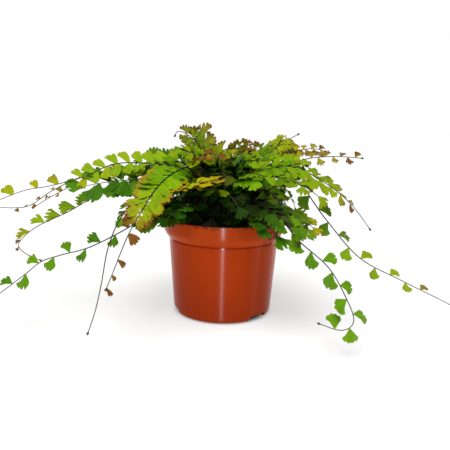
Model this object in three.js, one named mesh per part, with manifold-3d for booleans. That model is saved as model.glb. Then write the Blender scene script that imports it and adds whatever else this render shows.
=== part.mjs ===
// A maidenhair fern with long trailing fronds, growing in a round nursery pot.
// Millimetres, +Z up. The origin is the centre of the pot's flat foot; the front faces -Y.
// Each frond is one leaf of the plant: a wiry stalk with a row of fan-shaped leaflets down each side.
import * as THREE from 'three';
import { mergeVertices } from 'three/addons/utils/BufferGeometryUtils.js';
import Module from 'manifold-3d';

const wasm = await Module();
wasm.setup();

// Pot
const RIM_RADIUS = 60;
const POT_HEIGHT = 95;
const COLLAR_DROP = 11; // straight band of the collar, below the rim
const GROOVE_HEIGHT = 75; // groove under the collar
const GROOVE_RADIUS = 51.6;
const FLARE_HEIGHT = 77.6; // the collar's lower side flares out through here
const FLARE_RADIUS = 56;
const SHOULDER_HEIGHT = 72;
const SHOULDER_RADIUS = 54;
const BASE_RADIUS = 48.5;
const CORNER_RADIUS = 4;
const CORNER_TURN = 82; // degrees from the flat foot to the leaning wall
const EDGE_ROUND = 0.5; // small rounding of the rim and of the groove's edges
const WALL = 1.2;
const POT_SIDES = 48;

// Drainage channels moulded up into the foot, open at the foot's edge
const CHANNEL_TURNS = [-43, 77, 197]; // degrees from +X
const CHANNEL_START = 17; // distance from the axis
const CHANNEL_WIDTH = 20;
const CHANNEL_HEIGHT = 4;
const DRAIN_REACH = 35;
const DRAIN_RADIUS = 4.5;

// Soil and crown
const GAP = 0.3; // between pieces that touch
const SOIL_EDGE_HEIGHT = 89.5;
const CROWN_TOP = 91.7;
const CROWN_RADIUS = 26;
const CROWN_DEPTH = 9;
const CROWN_LOBES = 5;
const CROWN_LOBE_SIZE = 0.05; // share of the radius
const CROWN_ROUND = 1.6; // rounding of the crown's upper edge

// Fronds
const ROOT_HEIGHT = 92; // every stalk starts here, just above the crown
const STALK_HALF_WIDTH = 0.9; // at the foot of the stalk
const TIP_HALF_WIDTH = 0.4;
const KEEL_DEPTH = 1.5; // depth of the stalk below the blade, over its half width
const STALK_STEP = 14; // between sections of bare stalk
const LEAST_STEP = 0.4; // sections closer than this are one

// Leaflets
const FIRST_SIZE = 0.7; // the first leaflet's share of the full size
const SIZE_GROWTH = 2; // share gained over the frond's whole length
const TIP_SHRINK = 0.5; // share lost by the last leaflet
const TIP_SHRINK_POWER = 1.5;
const WIDEST = 1.1; // width over length
const ROOMY_GAP = 0.9; // share of the gap that a leaflet growing on one side fills
const BLADE_SHAPE = [[0.2, 0.75], [0.75, 1]]; // shares of the width along the stalk, and of the length
const LEAFLET_SHRINK = 0.5; // a crowded leaflet is folded to this share
const SMALLEST_LEAFLET = 2.5;
const CROWDING_ROUNDS = 6;
const LEAST_OVERLAP = 0.0001; // mm3

const degrees = Math.PI / 180;
const vec = (x, y, z = 0) => new THREE.Vector3(x, y, z);

// --- Solids and meshes

// Keeps only merged positions and drops triangles that have closed up.
function cleaned(geometry) {
  const bare = new THREE.BufferGeometry();
  bare.setAttribute('position', geometry.getAttribute('position').clone());
  if (geometry.index) bare.setIndex(geometry.index.clone());
  const merged = mergeVertices(bare, 1e-4);
  const index = merged.index.array;
  const kept = [];
  for (let i = 0; i < index.length; i += 3) {
    const [a, b, c] = [index[i], index[i + 1], index[i + 2]];
    if (a !== b && b !== c && c !== a) kept.push(a, b, c);
  }
  merged.setIndex(kept);
  return merged;
}

function solid(geometry) {
  const merged = cleaned(geometry);
  return new wasm.Manifold(new wasm.Mesh({
    numProp: 3,
    vertProperties: new Float32Array(merged.getAttribute('position').array),
    triVerts: new Uint32Array(merged.index.array),
  }));
}

function geometryOf(manifold) {
  const mesh = manifold.getMesh();
  const geometry = new THREE.BufferGeometry();
  geometry.setAttribute('position', new THREE.BufferAttribute(mesh.vertProperties, 3));
  geometry.setIndex(new THREE.BufferAttribute(mesh.triVerts, 1));
  geometry.computeVertexNormals();
  return geometry;
}

function named(name, manifold, material) {
  const mesh = new THREE.Mesh(geometryOf(manifold), material);
  mesh.name = name;
  return mesh;
}

// Turns a profile of [radius, height] points about +Z.
function turned(profile, sides = POT_SIDES) {
  const points = profile.map(([radius, height]) => new THREE.Vector2(radius, height));
  return new THREE.LatheGeometry(points, sides).rotateX(Math.PI / 2);
}

// --- Pot

// The rounded corner between the foot and the wall, from the foot outwards.
function corner(radius, height, round, steps = 4) {
  return Array.from({ length: steps + 1 }, (_, i) => {
    const turn = (i / steps) * CORNER_TURN * degrees;
    return [radius - round + round * Math.sin(turn), height + round * (1 - Math.cos(turn))];
  });
}

// Outer face of the wall, from the foot up to just below the rim.
const OUTER_FACE = [
  [SHOULDER_RADIUS, SHOULDER_HEIGHT],
  [SHOULDER_RADIUS - EDGE_ROUND, SHOULDER_HEIGHT + EDGE_ROUND],
  [GROOVE_RADIUS, GROOVE_HEIGHT - EDGE_ROUND],
  [GROOVE_RADIUS, GROOVE_HEIGHT + EDGE_ROUND],
  [FLARE_RADIUS, FLARE_HEIGHT],
  [RIM_RADIUS - 3 * EDGE_ROUND, POT_HEIGHT - COLLAR_DROP - 4],
  [RIM_RADIUS - EDGE_ROUND, POT_HEIGHT - COLLAR_DROP],
  [RIM_RADIUS, POT_HEIGHT - COLLAR_DROP + 4],
];

function potOutside() {
  return turned([
    [0, 0],
    ...corner(BASE_RADIUS, 0, CORNER_RADIUS),
    ...OUTER_FACE,
    [RIM_RADIUS, POT_HEIGHT - EDGE_ROUND],
    [RIM_RADIUS - EDGE_ROUND, POT_HEIGHT],
    [0, POT_HEIGHT],
  ]);
}

// The wall's profile drawn in by inset, from the axis to just below the rim.
function wallInside(inset) {
  return [
    [0, inset],
    ...corner(BASE_RADIUS - inset, inset, CORNER_RADIUS - WALL),
    ...OUTER_FACE.map(([radius, height]) => [radius - inset, height]),
  ];
}

// One drainage channel, grown by margin on its sides, top and inner end.
function channel(turn, margin) {
  const reach = BASE_RADIUS + CHANNEL_WIDTH / 2;
  const start = CHANNEL_START - margin;
  const height = CHANNEL_HEIGHT + margin;
  const box = new THREE.BoxGeometry(reach - start, CHANNEL_WIDTH + 2 * margin, 2 * height);
  return box.translate((reach + start) / 2, 0, 0).rotateZ(turn * degrees);
}

function drainHole(turn) {
  const depth = 4 * CHANNEL_HEIGHT;
  const hole = new THREE.CylinderGeometry(DRAIN_RADIUS, DRAIN_RADIUS, depth, 16).rotateX(Math.PI / 2);
  return hole.translate(DRAIN_REACH, 0, 0).rotateZ(turn * degrees);
}

function potSolid() {
  let outside = solid(potOutside());
  let inside = solid(turned([
    ...wallInside(WALL),
    [RIM_RADIUS - WALL, POT_HEIGHT + WALL],
    [0, POT_HEIGHT + WALL],
  ]));
  for (const turn of CHANNEL_TURNS) {
    outside = outside.subtract(solid(channel(turn, 0)));
    inside = inside.subtract(solid(channel(turn, WALL)));
  }
  const shell = outside.subtract(inside);
  return CHANNEL_TURNS.reduce((pot, turn) => pot.subtract(solid(drainHole(turn))), shell);
}

// --- Soil and crown

// A low knuckled disc with a flat top, from which the stalks rise.
function crownSolid() {
  const bottom = CROWN_TOP - CROWN_DEPTH;
  const geometry = turned([
    [0, bottom],
    [CROWN_RADIUS * 0.8, bottom],
    [CROWN_RADIUS + 1, bottom + CROWN_DEPTH * 0.55],
    [CROWN_RADIUS, CROWN_TOP - CROWN_ROUND],
    [CROWN_RADIUS - CROWN_ROUND, CROWN_TOP],
    [0, CROWN_TOP],
  ], 40);
  const position = geometry.getAttribute('position');
  for (let i = 0; i < position.count; i++) {
    const turn = Math.atan2(position.getY(i), position.getX(i));
    const swell = 1 + CROWN_LOBE_SIZE * Math.cos(CROWN_LOBES * turn);
    position.setXY(i, position.getX(i) * swell, position.getY(i) * swell);
  }
  return solid(geometry);
}

// Soil fills the pot to just under the rim, with a round seat for the crown.
function soilSolid() {
  const seatRadius = (CROWN_RADIUS + 1) * (1 + CROWN_LOBE_SIZE) + GAP;
  const seatFloor = CROWN_TOP - CROWN_DEPTH - GAP;
  const soil = solid(turned([
    ...wallInside(WALL + GAP),
    [RIM_RADIUS - WALL - GAP, SOIL_EDGE_HEIGHT],
    [seatRadius, SOIL_EDGE_HEIGHT],
    [seatRadius, seatFloor],
    [0, seatFloor],
  ]));
  return CHANNEL_TURNS.reduce((left, turn) => left.subtract(solid(channel(turn, WALL + GAP))), soil);
}

// --- Fronds

// way: points on the stalk from the crown to the tip. face: where the upper side looks.
// bare: stalk before the first leaflet. whip: bare length at the tip.
// gap: from one leaflet, or pair, to the next. leaf: length of the largest leaflet.
const FRONDS = [
  {
    name: 'frond_left_1',
    way: [[-13, 3, 92], [-35, 2, 143], [-73, -8, 146], [-105, -16, 145], [-132, -24, 133],
      [-164, -30, 124], [-185, -34, 120], [-217, -40, 107]],
    face: [0, -0.8, 0.6], bare: 62, whip: 16, gap: 11.5, leaf: 12.5, paired: true,
  },
  {
    name: 'frond_left_2',
    way: [[-16, 8, 92], [-47, 12, 140], [-95, 10, 139], [-136, 6, 132], [-170, 2, 116],
      [-192, 0, 101], [-208, -2, 98], [-227, -4, 99]],
    face: [0, -0.6, 0.8], bare: 70, whip: 28, gap: 11, leaf: 6.5, paired: false,
  },
  {
    name: 'frond_left_3',
    way: [[-19, 12, 92], [-50, 22, 130], [-97, 24, 131], [-139, 21, 126], [-174, 17, 109],
      [-196, 13, 95]],
    face: [0, -0.5, 0.85], bare: 60, whip: 30, gap: 12, leaf: 7, paired: false,
  },
  {
    name: 'frond_left_4',
    way: [[-20, -2, 92], [-39, -5, 128], [-72, -14, 131], [-99, -21, 130], [-120, -26, 127],
      [-138, -30, 123]],
    face: [0, -0.75, 0.65], bare: 46, whip: 2, gap: 11, leaf: 13, paired: true,
  },
  {
    name: 'frond_left_5',
    way: [[-24, 0, 92], [-49, 2, 119], [-83, 0, 123], [-118, -6, 116], [-152, -12, 97],
      [-182, -18, 82], [-197, -22, 67], [-191, -24, 58], [-174, -26, 51]],
    face: [0, -0.8, 0.6], bare: 72, whip: 44, gap: 15, leaf: 12, paired: false,
  },
  {
    name: 'frond_left_6',
    way: [[-20, -10, 92], [-49, -30, 109], [-68, -42, 104], [-86, -50, 91], [-119, -58, 74],
      [-144, -62, 67], [-161, -64, 61], [-176, -68, 49], [-203, -74, 28]],
    face: [0, -0.7, 0.7], bare: 44, whip: 14, gap: 15, leaf: 12.5, paired: false,
  },
  {
    name: 'frond_front_1',
    way: [[-12, -8, 92], [-31, -18, 140], [-45, -36, 141], [-58, -66, 130], [-69, -88, 111],
      [-78, -100, 93], [-88, -112, 65], [-93, -116, 52]],
    face: [0.1, -0.45, 0.9], bare: 60, whip: 66, gap: 10, leaf: 19, paired: true,
  },
  {
    name: 'frond_front_2',
    way: [[-13, -12, 92], [-52, -34, 118], [-75, -56, 118], [-88, -76, 104], [-95, -94, 82],
      [-98, -106, 56], [-101, -116, 36], [-106, -124, 18]],
    face: [-0.3, -0.3, 0.9], bare: 34, whip: 128, gap: 10, leaf: 11, paired: true,
  },
  {
    name: 'frond_front_3',
    way: [[-4, -14, 92], [-24, -24, 123], [-32, -42, 131], [-20, -60, 135], [-6, -74, 137]],
    face: [0, -0.2, 1], bare: 48, whip: 1, gap: 9, leaf: 13, paired: true,
  },
  {
    name: 'frond_front_4',
    way: [[2, -14, 92], [4, -26, 122], [12, -42, 133], [23, -58, 131], [28, -66, 124]],
    face: [-0.3, -0.4, 0.85], bare: 34, whip: 1, gap: 11, leaf: 14, paired: true,
  },
  {
    name: 'frond_front_5',
    way: [[-2, -20, 92], [-1, -34, 115], [1, -50, 125], [8, -64, 121], [14, -71, 112]],
    face: [-0.3, -0.5, 0.8], bare: 30, whip: 1, gap: 11, leaf: 13, paired: true,
  },
  {
    name: 'frond_front_6',
    way: [[-10, -21, 92], [-20, -36, 107], [-31, -50, 113], [-43, -62, 108], [-54, -68, 96]],
    face: [-0.2, -0.6, 0.8], bare: 24, whip: 1, gap: 11, leaf: 13, paired: true,
  },
  {
    name: 'frond_front_7',
    way: [[-18, -16, 92], [-36, -28, 103], [-52, -37, 108], [-66, -44, 103], [-77, -49, 93]],
    face: [-0.2, -0.6, 0.8], bare: 24, whip: 1, gap: 11, leaf: 12, paired: true,
  },
  {
    name: 'frond_front_8',
    way: [[14, -16, 92], [21, -36, 116], [33, -54, 115], [50, -66, 106], [63, -74, 95]],
    face: [0.3, -0.5, 0.8], bare: 30, whip: 1, gap: 11, leaf: 14, paired: true,
  },
  {
    name: 'frond_front_9',
    way: [[8, -20, 92], [14, -40, 106], [25, -56, 107], [38, -66, 99], [50, -72, 87]],
    face: [0.3, -0.55, 0.8], bare: 26, whip: 1, gap: 11, leaf: 13, paired: true,
  },
  {
    name: 'frond_right_1',
    way: [[16, -6, 92], [26, -12, 131], [48, -18, 145], [66, -24, 147], [89, -32, 136],
      [108, -38, 123], [121, -42, 110], [134, -46, 93]],
    face: [0, -0.6, 0.8], bare: 56, whip: 20, gap: 10, leaf: 13, paired: true,
  },
  {
    name: 'frond_right_2',
    way: [[12, -9, 92], [18, -20, 124], [34, -32, 137], [53, -43, 138], [73, -54, 131],
      [86, -61, 122]],
    face: [0.1, -0.5, 0.85], bare: 44, whip: 1, gap: 11, leaf: 15, paired: true,
  },
  {
    name: 'frond_right_3',
    way: [[20, -2, 92], [32, -8, 123], [56, -15, 139], [74, -24, 127], [95, -34, 100],
      [126, -44, 67], [163, -52, 49], [199, -58, 33], [218, -62, 24]],
    face: [0.1, -0.8, 0.6], bare: 58, whip: 26, gap: 16, leaf: 13, paired: false,
  },
  {
    name: 'frond_right_4',
    way: [[23, -7, 92], [35, -28, 114], [50, -52, 105], [65, -72, 88], [89, -88, 69],
      [103, -102, 46], [108, -110, 30], [98, -112, 23], [78, -110, 28]],
    face: [0.2, -0.8, 0.55], bare: 48, whip: 12, gap: 14, leaf: 12.5, paired: false,
  },
  {
    name: 'frond_right_5',
    way: [[19, 5, 92], [23, 6, 129], [42, 10, 143], [62, 14, 157], [80, 16, 162], [94, 17, 162],
      [103, 18, 157]],
    face: [0, -0.85, 0.5], bare: 52, whip: 6, gap: 9, leaf: 9, paired: true,
  },
  {
    name: 'frond_right_6',
    way: [[18, 1, 92], [27, 1, 126], [47, 0, 139], [65, -2, 149], [84, -5, 155], [107, -8, 157],
      [132, -10, 156]],
    face: [0, -0.8, 0.6], bare: 60, whip: 8, gap: 9, leaf: 6.5, paired: false,
  },
  {
    name: 'frond_top_1',
    way: [[-6, 10, 92], [-14, 12, 128], [-20, 15, 151], [-22, 18, 168], [-24, 20, 184]],
    face: [0, -1, 0.1], bare: 48, whip: 1, gap: 8.5, leaf: 15, paired: true,
  },
  {
    name: 'frond_top_2',
    way: [[-10, 5, 92], [-18, 5, 138], [-24, 4, 161], [-35, 2, 174], [-46, 0, 179], [-50, -2, 173]],
    face: [0.2, -0.9, 0.3], bare: 66, whip: 8, gap: 8, leaf: 10, paired: true,
  },
  {
    name: 'frond_top_3',
    way: [[-7, 0, 92], [-17, -3, 133], [-24, -8, 149], [-34, -12, 158], [-47, -16, 159]],
    face: [0, -0.6, 0.8], bare: 46, whip: 1, gap: 9, leaf: 14, paired: true,
  },
  {
    name: 'frond_top_4',
    way: [[1, 5, 92], [-6, 5, 134], [-8, 5, 149], [-2, 2, 160], [8, -2, 159]],
    face: [-0.1, -0.7, 0.7], bare: 50, whip: 1, gap: 8, leaf: 12, paired: true,
  },
  {
    name: 'frond_top_5',
    way: [[4, 12, 92], [-1, 20, 133], [4, 24, 151], [14, 26, 163], [26, 25, 163], [36, 23, 157]],
    face: [0, -0.8, 0.6], bare: 50, whip: 2, gap: 8.5, leaf: 11, paired: true,
  },
  {
    name: 'frond_top_6',
    way: [[7, 3, 92], [4, 3, 131], [13, 1, 147], [25, -3, 151], [37, -8, 149]],
    face: [0.1, -0.6, 0.8], bare: 46, whip: 1, gap: 9, leaf: 12, paired: true,
  },
  {
    name: 'frond_top_7',
    way: [[9, 15, 92], [13, 26, 129], [27, 36, 144], [39, 42, 155], [47, 46, 165]],
    face: [0, -0.9, 0.35], bare: 50, whip: 1, gap: 11, leaf: 15, paired: true,
  },
  {
    name: 'frond_top_8',
    way: [[12, 9, 92], [17, 15, 130], [37, 22, 145], [53, 27, 160], [63, 29, 170], [75, 31, 177]],
    face: [0.1, -0.9, 0.4], bare: 52, whip: 14, gap: 10, leaf: 14, paired: true,
  },
];

// Fanned round the far side; high and low ones take turns.
const BACK_FRONDS = 12;
const BACK_TURNS = [22, 170]; // degrees from +X
const BACK_REACH = 118;
const BACK_REACH_STEP = 13; // between the five lengths that take turns
const BACK_WHIP = 34; // every third one ends in a bare whip
const BACK_TIERS = [
  { root: 14, nearer: 30, rise: 66, droop: 34, bare: 56 },
  { root: 23, nearer: 0, rise: 34, droop: 62, bare: 40 },
];
const BACK_SIDES = [1, 11]; // the two low ones nearest the front are shorter and droop less
const BACK_SIDE_TIER = { root: 23, nearer: 60, rise: 34, droop: 32, bare: 40 };

// Short ones that fill the heart of the plant; low, middle and high ones take turns.
const INNER_FRONDS = 11;
const INNER_TURNS = [-170, -23];
const INNER_TIERS = [
  { root: 23, reach: 53, rise: 16, droop: 8, bare: 15 },
  { root: 18, reach: 52, rise: 34, droop: 14, bare: 28 },
  { root: 8, reach: 43, rise: 52, droop: 10, bare: 42 },
];

const ARCH = [[0, 0], [0.2, 0.8], [0.48, 1], [0.76, 0.75]]; // shares of the reach and of the rise
const FACE_LEAN = 0.3; // how far the upper side of an arched frond looks inwards
const FACE_RISE = 0.95;

const turnOf = (i, count, [first, last]) => first + (i / (count - 1)) * (last - first);

// A frond that arches out from the crown in one upright plane and droops at its end.
function archedWay(turn, { root, reach, rise, droop }) {
  const arch = ARCH.map(([out, up]) => [root + out * (reach - root), up * rise]);
  return [...arch, [reach, rise - droop]].map(([out, up]) => [
    Math.round(out * Math.cos(turn * degrees)),
    Math.round(out * Math.sin(turn * degrees)),
    ROOT_HEIGHT + Math.round(up),
  ]);
}

function inwardFace(turn) {
  return [-FACE_LEAN * Math.cos(turn * degrees), -FACE_LEAN * Math.sin(turn * degrees), FACE_RISE];
}

function backFrond(i) {
  const turn = turnOf(i, BACK_FRONDS, BACK_TURNS);
  const tier = BACK_SIDES.includes(i) ? BACK_SIDE_TIER : BACK_TIERS[i % BACK_TIERS.length];
  const reach = BACK_REACH + BACK_REACH_STEP * ((i * 3) % 5) - tier.nearer;
  return {
    name: `frond_back_${i + 1}`,
    way: archedWay(turn, { ...tier, reach }),
    face: inwardFace(turn),
    bare: tier.bare, whip: i % 3 === 0 ? BACK_WHIP : 2, gap: 11, leaf: 13, paired: true,
  };
}

function innerFrond(i) {
  const turn = turnOf(i, INNER_FRONDS, INNER_TURNS);
  const tier = INNER_TIERS[i % INNER_TIERS.length];
  return {
    name: `frond_inner_${i + 1}`,
    way: archedWay(turn, tier),
    face: inwardFace(turn),
    bare: tier.bare, whip: 1, gap: 10, leaf: 11, paired: true,
  };
}

const ALL_FRONDS = [
  ...FRONDS,
  ...Array.from({ length: BACK_FRONDS }, (_, i) => backFrond(i)),
  ...Array.from({ length: INNER_FRONDS }, (_, i) => innerFrond(i)),
];

// The stalk's curve, with its arc length, point and three directions at any distance.
function stalkOf(frond) {
  const curve = new THREE.CatmullRomCurve3(frond.way.map((p) => vec(...p)), false, 'catmullrom', 0.5);
  const length = curve.getLength();
  const face = vec(...frond.face).normalize();
  return {
    length,
    at(distance) {
      const u = Math.min(Math.max(distance / length, 0), 1);
      const along = curve.getTangentAt(u);
      const across = face.clone().cross(along).normalize();
      const up = along.clone().cross(across);
      return { point: curve.getPointAt(u), along, across, up };
    },
  };
}

// Leaflets grow over the first few, then get smaller towards the tip.
function leafletsOf(frond, length) {
  const end = length - frond.whip;
  const count = Math.max(1, Math.floor((end - frond.bare) / frond.gap));
  return Array.from({ length: count }, (_, i) => {
    const way = (i + 0.5) / count;
    const growth = Math.min(1, FIRST_SIZE + SIZE_GROWTH * way);
    const size = frond.leaf * growth * (1 - TIP_SHRINK * way ** TIP_SHRINK_POWER);
    const room = frond.paired ? frond.gap : ROOMY_GAP * frond.gap;
    return {
      middle: frond.bare + (i + 0.5) * frond.gap,
      width: Math.min(room, WIDEST * size),
      left: frond.paired || i % 2 === 1 ? size : 0,
      right: frond.paired || i % 2 === 0 ? size : 0,
    };
  });
}

const stalkHalfWidth = (distance, length) => (
  THREE.MathUtils.lerp(STALK_HALF_WIDTH, TIP_HALF_WIDTH, distance / length)
);

// Sections along a frond: distance, and how far the blade reaches to the left and the right.
function sectionsOf(length, leaflets) {
  const bareAt = (distance) => {
    const half = stalkHalfWidth(distance, length);
    return { distance, left: half, right: half };
  };
  const bladeAt = (distance, leaflet, out) => {
    const reach = (size) => Math.max(stalkHalfWidth(distance, length), size * out);
    return { distance, left: reach(leaflet.left), right: reach(leaflet.right) };
  };
  const sections = [bareAt(0)];
  const bareUpTo = (end) => {
    const start = sections.at(-1).distance;
    if (end - start <= LEAST_STEP) return;
    const steps = Math.max(1, Math.round((end - start) / STALK_STEP));
    for (let i = 1; i <= steps; i++) sections.push(bareAt(start + ((end - start) * i) / steps));
  };
  for (const leaflet of leaflets) {
    if (leaflet.left === 0 && leaflet.right === 0) continue;
    const start = leaflet.middle - leaflet.width / 2;
    bareUpTo(start);
    for (const [along, out] of BLADE_SHAPE) {
      sections.push(bladeAt(start + along * leaflet.width, leaflet, out));
    }
    sections.push(bareAt(start + leaflet.width));
  }
  bareUpTo(length);
  return sections;
}

// Slides the corners along the stalk to one height, so that its foot stands flat on the crown.
function cutLevel(corners, height, along) {
  corners.forEach((corner) => corner.addScaledVector(along, (height - corner.z) / along.z));
}

// One closed strip: flat on top, with a keel below that is the stalk.
function frondGeometry(frond, leaflets) {
  const stalk = stalkOf(frond);
  const sections = sectionsOf(stalk.length, leaflets);
  const positions = [];
  for (const section of sections) {
    const { point, along, across, up } = stalk.at(section.distance);
    const keel = KEEL_DEPTH * stalkHalfWidth(section.distance, stalk.length);
    const corners = [
      point.clone().addScaledVector(across, section.left),
      point.clone().addScaledVector(up, -keel),
      point.clone().addScaledVector(across, -section.right),
    ];
    if (section.distance === 0) cutLevel(corners, point.z, along);
    corners.forEach((p) => positions.push(p.x, p.y, p.z));
  }
  const index = [0, 1, 2];
  for (let ring = 0; ring < sections.length - 1; ring++) {
    for (let side = 0; side < 3; side++) {
      const a = ring * 3 + side;
      const b = ring * 3 + ((side + 1) % 3);
      index.push(a, a + 3, b, b, a + 3, b + 3);
    }
  }
  const last = (sections.length - 1) * 3;
  index.push(last, last + 2, last + 1);
  const geometry = new THREE.BufferGeometry();
  geometry.setAttribute('position', new THREE.Float32BufferAttribute(positions, 3));
  geometry.setIndex(index);
  return geometry;
}

const boxOf = (manifold) => {
  const { min, max } = manifold.boundingBox();
  return new THREE.Box3(vec(...min), vec(...max));
};

function overlapBoxes(piece, others) {
  const box = boxOf(piece);
  return others
    .filter((other) => boxOf(other).intersectsBox(box))
    .map((other) => piece.intersect(other))
    .filter((shared) => shared.volume() > LEAST_OVERLAP)
    .map((shared) => boxOf(shared).expandByScalar(GAP));
}

// The box of one leaflet's blade, from stalk to edge.
function leafletBox(stalk, leaflet, side) {
  const box = new THREE.Box3();
  for (const end of [-0.5, 0, 0.5]) {
    const { point, across } = stalk.at(leaflet.middle + end * leaflet.width);
    for (const out of [STALK_HALF_WIDTH, Math.max(leaflet.left, leaflet.right)]) {
      box.expandByPoint(point.clone().addScaledVector(across, side * out));
    }
  }
  return box;
}

// Folds back each leaflet that meets a neighbour, until the frond lies clear of all of them.
function clearFrond(frond, others) {
  const stalk = stalkOf(frond);
  const leaflets = leafletsOf(frond, stalk.length);
  const shorter = (size) => (size * LEAFLET_SHRINK < SMALLEST_LEAFLET ? 0 : size * LEAFLET_SHRINK);
  for (let round = 0; round < CROWDING_ROUNDS; round++) {
    const piece = solid(frondGeometry(frond, leaflets));
    const met = overlapBoxes(piece, others);
    if (met.length === 0) return piece;
    for (const leaflet of leaflets) {
      const meets = (side) => met.some((box) => box.intersectsBox(leafletBox(stalk, leaflet, side)));
      if (leaflet.left && meets(1)) leaflet.left = shorter(leaflet.left);
      if (leaflet.right && meets(-1)) leaflet.right = shorter(leaflet.right);
    }
  }
  return solid(frondGeometry(frond, leaflets));
}

// Fronds take their room in turn, beside the bare stalks of those still to come.
function frondSolids(fixed) {
  const placed = ALL_FRONDS.map((frond) => solid(frondGeometry(frond, [])));
  ALL_FRONDS.forEach((frond, i) => {
    const others = placed.filter((_, j) => j !== i);
    placed[i] = clearFrond(frond, [...fixed, ...others]);
  });
  return placed;
}

// --- The plant in its pot

const surface = (color, roughness) => new THREE.MeshStandardMaterial({ color, roughness, metalness: 0 });
const terracotta = surface('#a83f14', 0.28);
const peat = surface('#2b1d14', 0.95);
const rootstock = surface('#33201a', 0.85);
const foliage = surface('#5f9f16', 0.5);

const pot = potSolid();
const soil = soilSolid();
const crown = crownSolid();

const plant = new THREE.Group();
plant.add(named('pot', pot, terracotta));
plant.add(named('potting_soil', soil, peat));
plant.add(named('crown', crown, rootstock));
frondSolids([pot, soil, crown]).forEach((piece, i) => {
  plant.add(named(ALL_FRONDS[i].name, piece, foliage));
});

export default plant;
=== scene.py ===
import math

import bpy
import numpy as np
from mathutils import Euler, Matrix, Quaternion, Vector


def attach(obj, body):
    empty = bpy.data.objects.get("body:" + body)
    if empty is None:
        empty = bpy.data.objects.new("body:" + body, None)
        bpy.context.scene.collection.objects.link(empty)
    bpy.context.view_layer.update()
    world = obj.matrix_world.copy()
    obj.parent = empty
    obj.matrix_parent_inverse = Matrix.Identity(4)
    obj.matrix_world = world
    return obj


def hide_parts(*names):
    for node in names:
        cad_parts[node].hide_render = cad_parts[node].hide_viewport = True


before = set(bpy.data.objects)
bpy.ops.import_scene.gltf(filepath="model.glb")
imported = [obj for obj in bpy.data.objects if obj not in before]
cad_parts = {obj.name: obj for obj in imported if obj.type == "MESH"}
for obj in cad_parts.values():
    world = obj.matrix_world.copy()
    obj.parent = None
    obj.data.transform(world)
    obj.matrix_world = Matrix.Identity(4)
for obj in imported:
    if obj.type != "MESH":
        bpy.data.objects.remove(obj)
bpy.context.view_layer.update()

mm = 0.001
white = (1, 1, 1, 1)


# A colour written as on a colour card, turned from screen values to light values.
def paint(card):
    parts = [int(card[i:i + 2], 16) / 255 for i in (1, 3, 5)]
    return tuple(p / 12.92 if p <= 0.04045 else ((p + 0.055) / 1.055) ** 2.4 for p in parts) + (1.0,)


# Eases from 0 to 1 as x goes from low to high: 3t^2 - 2t^3.
def eased(x, low, high):
    t = np.clip((x - low) / (high - low), 0, 1)
    return t * t * (3 - 2 * t)


# The value that lies the given share of the way between two limits.
def runs(limits, share):
    return limits[0] + (limits[1] - limits[0]) * share


def unit(vectors):
    return vectors / np.linalg.norm(vectors, axis=-1, keepdims=True)


# x and y at a distance out from the axis, at a turn from +X.
def onCircle(out, turn):
    return out * np.cos(turn), out * np.sin(turn)


# Quads of a grid of rows by columns, counted row by row; a closed grid joins its last column to its first.
def gridQuads(rows, columns, closed=False):
    row = np.arange(rows - 1)[:, None] * columns
    column = np.arange(columns if closed else columns - 1)[None, :]
    beside = (column + 1) % columns
    quads = np.stack([row + column, row + beside, row + columns + beside, row + columns + column], axis=-1)
    return quads.reshape(-1, 4)


# Triangles that close a stack of rings at both ends, with the two points that follow the rings' own.
def poleFans(rings, sides):
    here, low, last = np.arange(sides), rings * sides, (rings - 1) * sides
    beside = (here + 1) % sides
    return np.vstack([np.stack([np.full(sides, low), beside, here], axis=-1),
                      np.stack([np.full(sides, low + 1), last + here, last + beside], axis=-1)])


# Puts numpy points and faces into one mesh object that rides on the plant.
def makePiece(name, points, faces, materials, nodes=(), uv=None, marks=None, faceMaterial=None, crease=None):
    mesh = bpy.data.meshes.new(name)
    mesh.from_pydata(points.tolist(), [], faces)
    mesh.polygons.foreach_set("use_smooth", np.ones(len(mesh.polygons), dtype=bool))
    for material in materials:
        mesh.materials.append(material)
    if faceMaterial is not None:
        mesh.polygons.foreach_set("material_index", np.asarray(faceMaterial, dtype=np.int32))
    if uv is not None:
        corners = np.empty(len(mesh.loops), dtype=np.int32)
        mesh.loops.foreach_get("vertex_index", corners)
        layer = mesh.uv_layers.new(name="leafMap")
        layer.data.foreach_set("uv", uv[corners].astype(np.float32).ravel())
    for key, values in (marks or {}).items():
        mesh.attributes.new(key, "FLOAT", "POINT").data.foreach_set("value", values.astype(np.float32))
    mesh.update()
    if crease:
        mesh.set_sharp_from_angle(angle=math.radians(crease))
    piece = bpy.data.objects.new(name, mesh)
    bpy.context.scene.collection.objects.link(piece)
    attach(piece, "root")
    if nodes:
        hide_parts(*nodes)
    return piece


# A node's output; sums and products on it add Math nodes.
class Wire:
    def __init__(self, recipe, socket):
        self.recipe, self.socket = recipe, socket

    def __add__(self, other):
        return self.recipe.maths("ADD", self, other)

    def __sub__(self, other):
        return self.recipe.maths("SUBTRACT", self, other)

    def __mul__(self, other):
        return self.recipe.maths("MULTIPLY", self, other)

    def __rsub__(self, other):
        return self.recipe.maths("SUBTRACT", other, self)

    __radd__, __rmul__ = __add__, __mul__


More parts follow.
